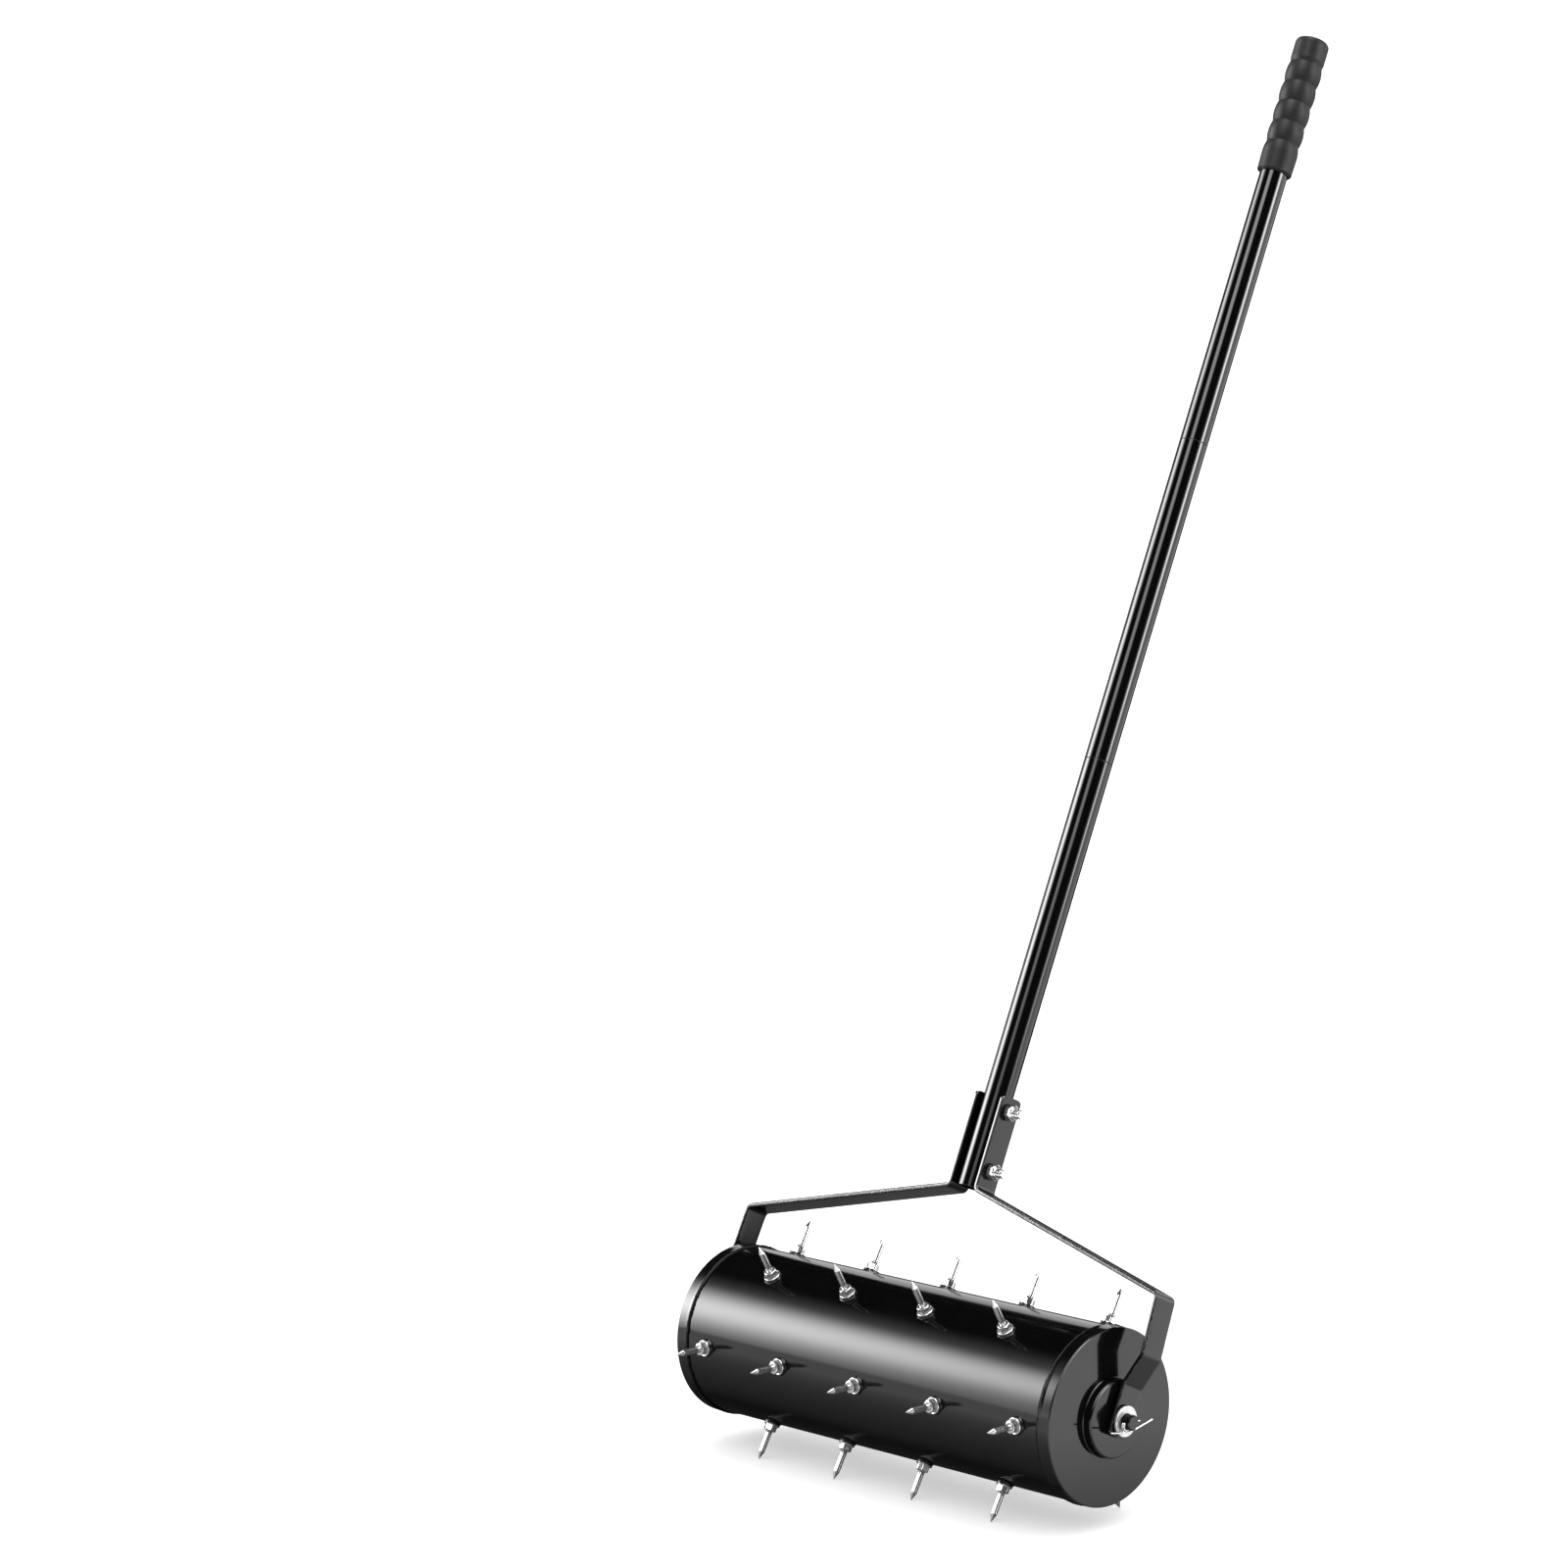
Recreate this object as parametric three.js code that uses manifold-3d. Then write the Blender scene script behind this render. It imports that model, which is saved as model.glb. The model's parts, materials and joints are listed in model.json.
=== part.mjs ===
// Rolling spike aerator. A hollow steel drum with rows of spikes rolls on an axle
// between two folded flat bar brackets, which are bolted to a long handle of three tubes.
// Millimetres, +Z up, X along the axle, +Y the way the handle leans.
// The origin is on the handle's axis at the middle of the grip.

import * as THREE from 'three';
import { mergeVertices } from 'three/addons/utils/BufferGeometryUtils.js';
import Module from 'manifold-3d';

const wasm = await Module();
wasm.setup();

// Clearance left between pieces that touch, and the overrun of a cut past its wall
const fitGap = 0.3;
const cutOverrun = 1;

// Drum shell
const drumRadius = 73.5;
const drumLength = 438;
const shellWall = 1.5;

// End caps: a flat disc with a skirt over the shell and a raised boss round the axle
const capWall = 1.2;
const capSkirt = 12;
const capEdgeRadius = 2.5;
const capBossRadius = 33;
const capBossHeight = 8;
const capBossEdge = 2;
const capNeckLength = 9;

// Rows of spikes, alternately long and short, with the first row's turn from straight up
const rowCount = 6;
const longRowSpikes = 5;
const rowMargin = 36;
const firstRowTurn = 30;

// Weld boss on the shell that each spike screws into
const weldBossRadius = 7;
const weldBossHeight = 2.1;

// Spike: threaded stud, flange nut, shank and point, its reach counted from the shell
const spikeReach = 34.5;
const studRadius = 3;
const studInside = 3;
const studCollar = 2.5;
const shankRadius = 2.7;
const pointLength = 7;
const spikeNutFlats = 10;
const spikeNutHeight = 6;
const spikeFlangeRadius = 7.1;
const spikeFlangeHeight = 1.2;

// Axle, washers and split pins
const axleRadius = 6.5;
const axleOverhang = 18;
const axleChamfer = 1;
const washerRadius = 13;
const washerThick = 2;
const washerPlay = 1.3;
const pinInset = 5;
const pinWireRadius = 0.78;
const pinWireGap = 0.1;
const pinBendRadius = 1.5;
const pinEyeRadius = 2.2;
const pinEyeNeckRadius = 1.2;
const pinShortHug = 40;
const pinShortRise = 10;
const pinShortLeg = 14;
const pinLongFlat = 3.4;
const pinLongRise = 14.5;
const pinLongLeg = 23.5;
const pinLongSplay = 4;

// Brackets of flat bar, folded in the plane of the handle
const barWidth = 25;
const barThick = 4;
const barBendRadius = 3;
const barEndRadius = 3.5;
const bossGap = 2.7;
const armSlope = 13.65;
const armSpikeClearance = 11.65;
const armCornerOut = 7.9;
const legSplayOut = 10.8;
const legSplayHeight = 55.3;
const legJoggleHeight = 28.4;
const legEndDrop = 14;
const tabLength = 84.6;

// Handle: leaning tubes, each with a necked upper end inside the next one, and the grip
const handleLean = 24.05;
const tubeRadius = 12.7;
const tubeWall = 1;
const tubeBottomGap = 1.6;
const lowerTubeLength = 388;
const middleTubeLength = 299;
const upperTubeLength = 259;
const neckTaper = 12;
const neckLength = 30;

// Soft grip: rounded bulges between grooves, a straight cuff at each end and a small lip
const gripLength = 129;
const gripCuffRadius = 15.65;
const gripBulgeRadius = 16.1;
const gripGrooveRadius = 14.5;
const gripGrooves = 5;
const gripGroovePitch = 19.3;
const gripFirstGroove = 28;
const gripEndWall = 4;
const gripTopRadius = 4.5;
const gripRimRadius = 1.4;
const gripLipRadius = 14.1;
const gripLipLength = 0.8;

// Bolts and lock nuts through the tabs and the lower tube
const boltRadius = 4;
const boltFlats = 13;
const boltHeadHeight = 5.3;
const boltNutHeight = 8;
const boltNutCollar = 1.8;
const boltNutCollarRadius = 5.7;
const boltThreadOut = 6;
const boltFromTabTop = 13;
const boltPitch = 53;

// Number of sides of round pieces
const drumSides = 36;
const tubeSides = 24;
const rodSides = 20;
const smallSides = 12;
const spikeSides = 8;
const wireSides = 6;
const arcSteps = 3;
const bulgeSteps = 4;
const wireStepDegrees = 30;

// Places worked out from the sizes above
const faceHalf = drumLength / 2;
const bossFront = faceHalf + capBossHeight;
const capInnerRadius = drumRadius + fitGap;
const shellHalf = faceHalf - capWall - fitGap;
const rowPitch = (drumLength - 2 * rowMargin) / (longRowSpikes - 1);
const sweepRadius = drumRadius + spikeReach;
const axleBoreRadius = axleRadius + fitGap;
const axleHalf = bossFront + axleOverhang;
const legInner = bossFront + bossGap;
const legCentre = legInner + barThick / 2;
const washerInner = legInner + barThick + washerPlay;
const pinPlace = axleHalf - pinInset;
const pinWireOffset = pinWireRadius + pinWireGap / 2;
const pinHoleRadius = pinWireOffset + pinWireRadius + fitGap;
const tabCentre = tubeRadius + fitGap + barThick / 2;
const tabOuter = tabCentre + barThick / 2;
const armFall = Math.tan(radians(armSlope));
const outerSpike = faceHalf - rowMargin;
const armCorner = legCentre + armCornerOut;
const armCornerHeight = sweepRadius + armSpikeClearance - (armCorner - outerSpike) * armFall;
const armFootHeight = armCornerHeight + (armCorner - tabCentre) * armFall;
const tabTop = armFootHeight + tabLength;
const tubeBottom = armFootHeight + tubeBottomGap;
const lowerJoint = tubeBottom + lowerTubeLength;
const upperJoint = lowerJoint + middleTubeLength;
const gripBottom = upperJoint + upperTubeLength;
const gripTop = gripBottom + gripLength;
const handGrip = (gripBottom + gripTop) / 2;
const tubeBore = tubeRadius - tubeWall;
const boltHoleRadius = boltRadius + fitGap;
const upperBolt = tabTop - boltFromTabTop;
const lowerBolt = upperBolt - boltPitch;

const X = new THREE.Vector3(1, 0, 0);
const Y = new THREE.Vector3(0, 1, 0);
const Z = new THREE.Vector3(0, 0, 1);

function radians(degrees) {
  return THREE.MathUtils.degToRad(degrees);
}

// Materials

function paint(name) {
  return new THREE.MeshStandardMaterial({ name, color: 0x0d0d0e, roughness: 0.22, metalness: 0.1 });
}

function zinc(name) {
  return new THREE.MeshStandardMaterial({ name, color: 0xc6c8ca, roughness: 0.3, metalness: 0.9 });
}

function softBlack(name) {
  return new THREE.MeshStandardMaterial({ name, color: 0x1a1a1b, roughness: 0.6, metalness: 0 });
}

// Solids: three.js geometry made watertight, joined and cut

function solidOf(geometry) {
  const bare = geometry.clone();
  bare.deleteAttribute('normal');
  bare.deleteAttribute('uv');
  const merged = mergeVertices(bare);
  const corners = [];
  for (let i = 0; i < merged.index.count; i += 3) {
    const [a, b, c] = [0, 1, 2].map((k) => merged.index.getX(i + k));
    if (a !== b && b !== c && c !== a) corners.push(a, b, c);
  }
  const mesh = new wasm.Mesh({
    numProp: 3,
    vertProperties: merged.attributes.position.array,
    triVerts: new Uint32Array(corners),
  });
  return new wasm.Manifold(mesh);
}

function geometryOf(solid) {
  const mesh = solid.getMesh();
  const geometry = new THREE.BufferGeometry();
  geometry.setAttribute('position', new THREE.BufferAttribute(mesh.vertProperties, 3));
  geometry.setIndex(new THREE.BufferAttribute(mesh.triVerts, 1));
  geometry.computeVertexNormals();
  return geometry;
}

function joinAll(first, others) {
  return others.reduce((whole, other) => whole.add(other), first);
}

function cutAll(first, others) {
  return others.reduce((whole, other) => whole.subtract(other), first);
}

// Turned shapes from a profile of [radius, height] points, about Z or about X

function turnedUp(profile, sides) {
  const points = profile.map(([radius, height]) => new THREE.Vector2(radius, height));
  return new THREE.LatheGeometry(points, sides).rotateX(Math.PI / 2);
}

function turnedAcross(profile, sides) {
  const points = profile.map(([radius, height]) => new THREE.Vector2(radius, height));
  return new THREE.LatheGeometry(points, sides).rotateZ(-Math.PI / 2);
}

function closed(profile) {
  return [...profile, profile[0]];
}

// Points of a quarter round between two directions, in degrees, about a centre
function quarter(centre, radius, from, to, steps = arcSteps) {
  const points = [];
  for (let i = 0; i <= steps; i += 1) {
    const turn = radians(from + (to - from) * i / steps);
    points.push([centre[0] + radius * Math.cos(turn), centre[1] + radius * Math.sin(turn)]);
  }
  return points;
}

// A round bar or hole between two heights, along Z, X or Y

function barUp(radius, low, high, sides) {
  const bar = new THREE.CylinderGeometry(radius, radius, high - low, sides);
  return bar.rotateX(Math.PI / 2).translate(0, 0, (low + high) / 2);
}

function barAcross(radius, low, high, sides) {
  const bar = new THREE.CylinderGeometry(radius, radius, high - low, sides);
  return bar.rotateZ(-Math.PI / 2).translate((low + high) / 2, 0, 0);
}

function barThrough(radius, reach, sides) {
  return new THREE.CylinderGeometry(radius, radius, 2 * reach, sides);
}

function cornerRadius(flats) {
  return flats / 2 / Math.cos(Math.PI / 6);
}

// Drum

// Each spike's row, place in the row, position along the axle and turn from straight up
function spikeSites() {
  const sites = [];
  for (let row = 0; row < rowCount; row += 1) {
    const count = longRowSpikes - row % 2;
    for (let place = 0; place < count; place += 1) {
      sites.push({
        name: `spike_r${row + 1}_${place + 1}`,
        along: (place - (count - 1) / 2) * rowPitch,
        turn: firstRowTurn - row * 360 / rowCount,
      });
    }
  }
  return sites;
}

function atSite(geometry, site) {
  return geometry.rotateX(-radians(site.turn)).translate(site.along, 0, 0);
}

function drumShell() {
  const inner = drumRadius - shellWall;
  const wall = [[drumRadius, -shellHalf], [drumRadius, shellHalf], [inner, shellHalf], [inner, -shellHalf]];
  const bossTop = drumRadius + weldBossHeight;
  const bosses = spikeSites().map((site) => {
    const boss = barUp(weldBossRadius, drumRadius - shellWall / 2, bossTop, smallSides);
    return solidOf(atSite(boss, site));
  });
  const holes = spikeSites().map((site) => {
    const hole = barUp(studRadius + fitGap, inner - cutOverrun, bossTop + cutOverrun, spikeSides);
    return solidOf(atSite(hole, site));
  });
  const tube = solidOf(turnedAcross(closed(wall), drumSides));
  return geometryOf(cutAll(joinAll(tube, bosses), holes));
}

function endCap() {
  const outer = capInnerRadius + capWall;
  const neckOuter = axleBoreRadius + capWall;
  const profile = [
    [outer, faceHalf - capSkirt],
    ...quarter([outer - capEdgeRadius, faceHalf - capEdgeRadius], capEdgeRadius, 0, 90),
    [capBossRadius, faceHalf],
    ...quarter([capBossRadius - capBossEdge, bossFront - capBossEdge], capBossEdge, 0, 90),
    [axleBoreRadius, bossFront],
    [axleBoreRadius, bossFront - capNeckLength],
    [neckOuter, bossFront - capNeckLength],
    [neckOuter, bossFront - capWall],
    [capBossRadius - capWall, bossFront - capWall],
    [capBossRadius - capWall, faceHalf - capWall],
    [capInnerRadius, faceHalf - capWall],
    [capInnerRadius, faceHalf - capSkirt],
  ];
  return geometryOf(solidOf(turnedAcross(closed(profile), drumSides)));
}

function axle() {
  const tipRadius = axleRadius - axleChamfer;
  const shoulder = axleHalf - axleChamfer;
  const profile = [
    [0, -axleHalf],
    [tipRadius, -axleHalf],
    [axleRadius, -shoulder],
    [axleRadius, shoulder],
    [tipRadius, axleHalf],
    [0, axleHalf],
  ];
  const holes = [-pinPlace, pinPlace].map((along) => {
    const hole = barThrough(pinHoleRadius, axleRadius + cutOverrun, smallSides);
    return solidOf(hole.translate(along, 0, 0));
  });
  return geometryOf(cutAll(solidOf(turnedAcross(profile, rodSides)), holes));
}

function axleWasher() {
  const outerFace = washerInner + washerThick;
  const profile = [
    [washerRadius, washerInner],
    [washerRadius, outerFace],
    [axleBoreRadius, outerFace],
    [axleBoreRadius, washerInner],
  ];
  return geometryOf(solidOf(turnedAcross(closed(profile), tubeSides)));
}

// A wire bent step by step: straight runs, and turns about a direction by the right-hand rule
class BentWire {
  constructor(start, heading) {
    this.points = [start.clone()];
    this.heading = heading.clone();
  }

  run(length) {
    this.points.push(this.points.at(-1).clone().addScaledVector(this.heading, length));
    return this;
  }

  turn(radius, degrees, about) {
    const start = this.points.at(-1);
    const centre = start.clone().addScaledVector(about.clone().cross(this.heading), radius);
    const arm = start.clone().sub(centre);
    const steps = Math.ceil(degrees / wireStepDegrees);
    for (let i = 1; i <= steps; i += 1) {
      const swung = arm.clone().applyAxisAngle(about, radians(degrees * i / steps));
      this.points.push(centre.clone().add(swung));
    }
    this.heading.applyAxisAngle(about, radians(degrees));
    return this;
  }
}

// A curve through points, with one ring of the wire at each of them
class WirePath extends THREE.Curve {
  constructor(points) {
    super();
    this.points = points;
  }

  getUtoTmapping(u) {
    return u;
  }

  getPoint(t) {
    const last = this.points.length - 1;
    const along = THREE.MathUtils.clamp(t, 0, 1) * last;
    const from = Math.min(Math.floor(along), last - 1);
    return this.points[from].clone().lerp(this.points[from + 1], along - from);
  }
}

function roundSection(radius, sides) {
  return new THREE.Shape(new THREE.Path().absarc(0, 0, radius, 0, 2 * Math.PI).getPoints(sides).slice(0, -1));
}

// A split pin through the axle, its eye behind and its two legs bent down round the front.
// The side is 1 at the right end of the axle and -1 at the left end.
function splitPin(side) {
  const hug = axleRadius + pinWireRadius + fitGap;
  const lane = (offset) => new THREE.Vector3(side * (pinPlace + offset), axleRadius, 0);
  const forward = Y.clone().negate();
  const left = X.clone().negate();
  const through = axleRadius + hug - pinBendRadius;
  const shortTurn = pinShortHug + 90 + pinShortRise;
  const shortLeg = new BentWire(lane(-pinWireOffset), forward)
    .run(through)
    .turn(pinBendRadius, 90, X)
    .turn(hug - pinBendRadius, pinShortHug, X)
    .turn(pinBendRadius, shortTurn, left)
    .run(pinShortLeg);
  const longLeg = new BentWire(lane(pinWireOffset), forward)
    .run(through)
    .turn(pinBendRadius, 90, X)
    .turn(hug - pinBendRadius, 90, X)
    .run(pinLongFlat)
    .turn(2 * pinBendRadius, pinLongRise, X);
  longLeg.heading.applyAxisAngle(Z, -side * radians(pinLongSplay));
  longLeg.run(pinLongLeg);
  const outward = Z.clone().multiplyScalar(side);
  const inward = outward.clone().negate();
  const flare = Math.acos((pinWireOffset + pinEyeNeckRadius) / (pinEyeRadius + pinEyeNeckRadius));
  const flareDegrees = THREE.MathUtils.radToDeg(flare);
  const eye = new BentWire(lane(-pinWireOffset), Y)
    .turn(pinEyeNeckRadius, flareDegrees, outward)
    .turn(pinEyeRadius, 180 + 2 * flareDegrees, inward)
    .turn(pinEyeNeckRadius, flareDegrees, outward);
  const points = [...shortLeg.points.reverse(), ...eye.points.slice(1, -1), ...longLeg.points];
  return geometryOf(solidOf(new THREE.ExtrudeGeometry(roundSection(pinWireRadius, wireSides), {
    extrudePath: new WirePath(points),
    steps: points.length - 1,
    bevelEnabled: false,
  })));
}

// A spike with its flange nut, standing on the shell's surface at height 0
function spike() {
  const nutBase = weldBossHeight + fitGap;
  const flangeTop = nutBase + spikeFlangeHeight;
  const nutTop = nutBase + spikeNutHeight;
  const collarTop = nutTop + studCollar;
  const profile = [
    [0, -shellWall - studInside],
    [studRadius, -shellWall - studInside],
    [studRadius, nutBase],
    [spikeFlangeRadius, nutBase],
    [spikeFlangeRadius, flangeTop],
    [studRadius, flangeTop],
    [studRadius, collarTop],
    [shankRadius, collarTop],
    [shankRadius, spikeReach - pointLength],
    [0, spikeReach],
  ];
  const hexagon = barUp(cornerRadius(spikeNutFlats), (nutBase + flangeTop) / 2, nutTop, 6);
  return geometryOf(solidOf(turnedUp(profile, spikeSides)).add(solidOf(hexagon)));
}

// Brackets

// Rounds the corners of a chain of [x, height] points, and gives each point its left-hand normal
function filletedChain(corners, radius) {
  const chain = corners.map(([x, height]) => new THREE.Vector2(x, height));
  const leftOf = (heading) => new THREE.Vector2(-heading.y, heading.x);
  const out = [];
  chain.forEach((corner, i) => {
    if (i === 0 || i === chain.length - 1) {
      const [from, to] = i === 0 ? [chain[0], chain[1]] : [chain[i - 1], chain[i]];
      out.push({ point: corner, normal: leftOf(to.clone().sub(from).normalize()) });
      return;
    }
    const before = corner.clone().sub(chain[i - 1]).normalize();
    const after = chain[i + 1].clone().sub(corner).normalize();
    const bend = Math.asin(before.cross(after));
    const side = Math.sign(bend);
    const start = corner.clone().addScaledVector(before, -radius * Math.tan(Math.abs(bend) / 2));
    const centre = start.clone().addScaledVector(leftOf(before), side * radius);
    for (let k = 0; k <= arcSteps; k += 1) {
      const heading = before.clone().rotateAround(new THREE.Vector2(), bend * k / arcSteps);
      const normal = leftOf(heading);
      out.push({ point: centre.clone().addScaledVector(normal, -side * radius), normal });
    }
  });
  return out;
}

// The bar's side outline: half its thickness to each side of its folded centre line
function foldedBarOutline() {
  const centreLine = filletedChain([
    [tabCentre, tabTop],
    [tabCentre, armFootHeight],
    [armCorner, armCornerHeight],
    [legCentre + legSplayOut, legSplayHeight],
    [legCentre, legJoggleHeight],
    [legCentre, -legEndDrop],
  ], barBendRadius + barThick / 2);
  const face = (side) => centreLine.map(({ point, normal }) => {
    return point.clone().addScaledVector(normal, side * barThick / 2);
  });
  return new THREE.Shape([...face(1), ...face(-1).reverse()]);
}

// The bar's front outline: as wide as the bar, with rounded corners at its two ends
function barFrontOutline() {
  const edge = barWidth / 2 - barEndRadius;
  const low = -legEndDrop + barEndRadius;
  const high = tabTop - barEndRadius;
  const corners = [[edge, high, 0], [-edge, high, 90], [-edge, low, 180], [edge, low, 270]];
  const points = corners.flatMap(([x, height, from]) => quarter([x, height], barEndRadius, from, from + 90));
  return new THREE.Shape(points.map(([x, height]) => new THREE.Vector2(x, height)));
}

function bracket() {
  const side = new THREE.ExtrudeGeometry(foldedBarOutline(), { depth: barWidth, bevelEnabled: false });
  side.translate(0, 0, -barWidth / 2).rotateX(Math.PI / 2);
  const reach = legCentre + legSplayOut + barThick + cutOverrun;
  const front = new THREE.ExtrudeGeometry(barFrontOutline(), { depth: reach, bevelEnabled: false });
  front.applyMatrix4(new THREE.Matrix4().makeBasis(Y, Z, X));
  const axleHole = barAcross(axleBoreRadius, legInner - cutOverrun, reach, rodSides);
  const boltHoles = [upperBolt, lowerBolt].map((height) => {
    const hole = barAcross(boltHoleRadius, 0, tabOuter + cutOverrun, smallSides);
    return solidOf(hole.translate(0, 0, height));
  });
  return geometryOf(cutAll(solidOf(side).intersect(solidOf(front)), [solidOf(axleHole), ...boltHoles]));
}

// Handle

// A handle tube from its lower end to the joint above, with a necked end beyond the joint
function neckedTube(bottom, joint) {
  const neckRadius = tubeBore - fitGap;
  const profile = [
    [tubeRadius, bottom],
    [tubeRadius, joint - neckTaper],
    [neckRadius, joint],
    [neckRadius, joint + neckLength],
    [neckRadius - tubeWall, joint + neckLength],
    [neckRadius - tubeWall, joint],
    [tubeBore, joint - neckTaper],
    [tubeBore, bottom],
  ];
  return solidOf(turnedUp(closed(profile), tubeSides));
}

function lowerTube() {
  const holes = [upperBolt, lowerBolt].map((height) => {
    const reach = tubeRadius + cutOverrun;
    return solidOf(barAcross(boltHoleRadius, -reach, reach, smallSides).translate(0, 0, height));
  });
  return geometryOf(cutAll(neckedTube(tubeBottom, lowerJoint), holes));
}

function middleTube() {
  return geometryOf(neckedTube(lowerJoint, upperJoint));
}

function upperTube() {
  const top = gripTop - gripEndWall - fitGap;
  const profile = [[tubeRadius, upperJoint], [tubeRadius, top], [tubeBore, top], [tubeBore, upperJoint]];
  return geometryOf(solidOf(turnedUp(closed(profile), tubeSides)));
}

// One bulge of the grip, an arc from the groove below it to the groove above it
function gripBulge(middle) {
  const rise = gripBulgeRadius - gripGrooveRadius;
  const half = gripGroovePitch / 2;
  const round = (half * half + rise * rise) / (2 * rise);
  const spread = THREE.MathUtils.radToDeg(Math.asin(half / round));
  return quarter([gripBulgeRadius - round, middle], round, -spread, spread, bulgeSteps);
}

// The grip's outer side, bottom to top: lip, rim, cuff, bulges, cuff and rounded shoulder
function gripSide() {
  const bulges = [];
  for (let i = 1; i < gripGrooves; i += 1) {
    bulges.push(...gripBulge(gripBottom + gripFirstGroove + (i - 1 / 2) * gripGroovePitch).slice(i > 1 ? 1 : 0));
  }
  const firstBulge = gripBulge(gripBottom + gripFirstGroove - gripGroovePitch / 2);
  const lastGroove = gripBottom + gripFirstGroove + (gripGrooves - 1) * gripGroovePitch;
  const rimCentre = [gripCuffRadius - gripRimRadius, gripBottom + gripRimRadius];
  const shoulderCentre = [gripCuffRadius - gripTopRadius, gripTop - gripTopRadius];
  return [
    [gripLipRadius, gripBottom - gripLipLength],
    [gripLipRadius, gripBottom],
    ...quarter(rimCentre, gripRimRadius, -90, 0),
    ...firstBulge.slice(bulgeSteps / 2, -1),
    ...bulges,
    [gripCuffRadius, lastGroove + gripGroovePitch / 4],
    ...quarter(shoulderCentre, gripTopRadius, 0, 90),
  ];
}

function grip() {
  const bore = tubeRadius + fitGap;
  const profile = [
    [0, gripTop - gripEndWall],
    [bore, gripTop - gripEndWall],
    [bore, gripBottom - gripLipLength],
    ...gripSide(),
    [0, gripTop],
  ];
  return geometryOf(solidOf(turnedUp(profile, tubeSides)));
}

// Fasteners of the handle

function bolt() {
  const headFace = -tabOuter - fitGap;
  const tip = tabOuter + fitGap + boltNutHeight + boltThreadOut;
  const head = barAcross(cornerRadius(boltFlats), headFace - boltHeadHeight, headFace, 6);
  const shank = barAcross(boltRadius, headFace - boltHeadHeight / 2, tip, smallSides);
  return geometryOf(solidOf(head).add(solidOf(shank)));
}

function lockNut() {
  const seat = tabOuter + fitGap;
  const hexTop = seat + boltNutHeight - boltNutCollar;
  const hexagon = barAcross(cornerRadius(boltFlats), seat, hexTop, 6);
  const collar = barAcross(boltNutCollarRadius, seat + boltNutHeight / 2, seat + boltNutHeight, smallSides);
  const hole = barAcross(boltHoleRadius, seat - cutOverrun, seat + boltNutHeight + cutOverrun, smallSides);
  return geometryOf(solidOf(hexagon).add(solidOf(collar)).subtract(solidOf(hole)));
}

// Assembly

function piece(name, geometry, material) {
  const mesh = new THREE.Mesh(geometry, material(name));
  mesh.name = name;
  return mesh;
}

// The drum with everything that rolls with it
function drum() {
  const group = new THREE.Group();
  group.add(piece('drum_shell', drumShell(), paint));
  group.add(piece('drum_axle', axle(), paint));
  for (const [end, side] of [['right', 1], ['left', -1]]) {
    const cap = piece(`end_cap_${end}`, endCap(), paint);
    const washer = piece(`axle_washer_${end}`, axleWasher(), zinc);
    for (const ring of [cap, washer]) {
      ring.rotation.z = side > 0 ? 0 : Math.PI;
      group.add(ring);
    }
    group.add(piece(`split_pin_${end}`, splitPin(side), zinc));
  }
  for (const site of spikeSites()) {
    const row = new THREE.Group();
    const mesh = piece(site.name, spike(), zinc);
    row.rotation.x = -radians(site.turn);
    mesh.position.set(site.along, 0, drumRadius);
    row.add(mesh);
    group.add(row);
  }
  return group;
}

// The handle with the brackets, which all lean together
function handle() {
  const group = new THREE.Group();
  group.rotation.x = -radians(handleLean);
  for (const [end, turn] of [['right', 0], ['left', Math.PI]]) {
    const bar = piece(`bracket_${end}`, bracket(), paint);
    bar.rotation.z = turn;
    group.add(bar);
  }
  group.add(piece('handle_tube_lower', lowerTube(), paint));
  group.add(piece('handle_tube_middle', middleTube(), paint));
  group.add(piece('handle_tube_upper', upperTube(), paint));
  group.add(piece('grip', grip(), softBlack));
  for (const [end, height] of [['upper', upperBolt], ['lower', lowerBolt]]) {
    for (const [kind, shape] of [['bolt', bolt], ['nut', lockNut]]) {
      const fastener = piece(`${kind}_${end}`, shape(), zinc);
      fastener.position.z = height;
      group.add(fastener);
    }
  }
  return group;
}

function aerator() {
  const group = new THREE.Group();
  group.name = 'rolling_spike_aerator';
  group.position.copy(new THREE.Vector3(0, 0, -handGrip).applyAxisAngle(X, -radians(handleLean)));
  group.add(drum(), handle());
  return group;
}

export default aerator();
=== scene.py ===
# Rolling spike aerator: the looks of every piece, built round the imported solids.
# Metres, +Z up, X along the axle, +Y the way the handle leans.

import json
import math
import random

import bmesh
import bpy
from mathutils import Matrix, Quaternion, Vector, noise


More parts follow.
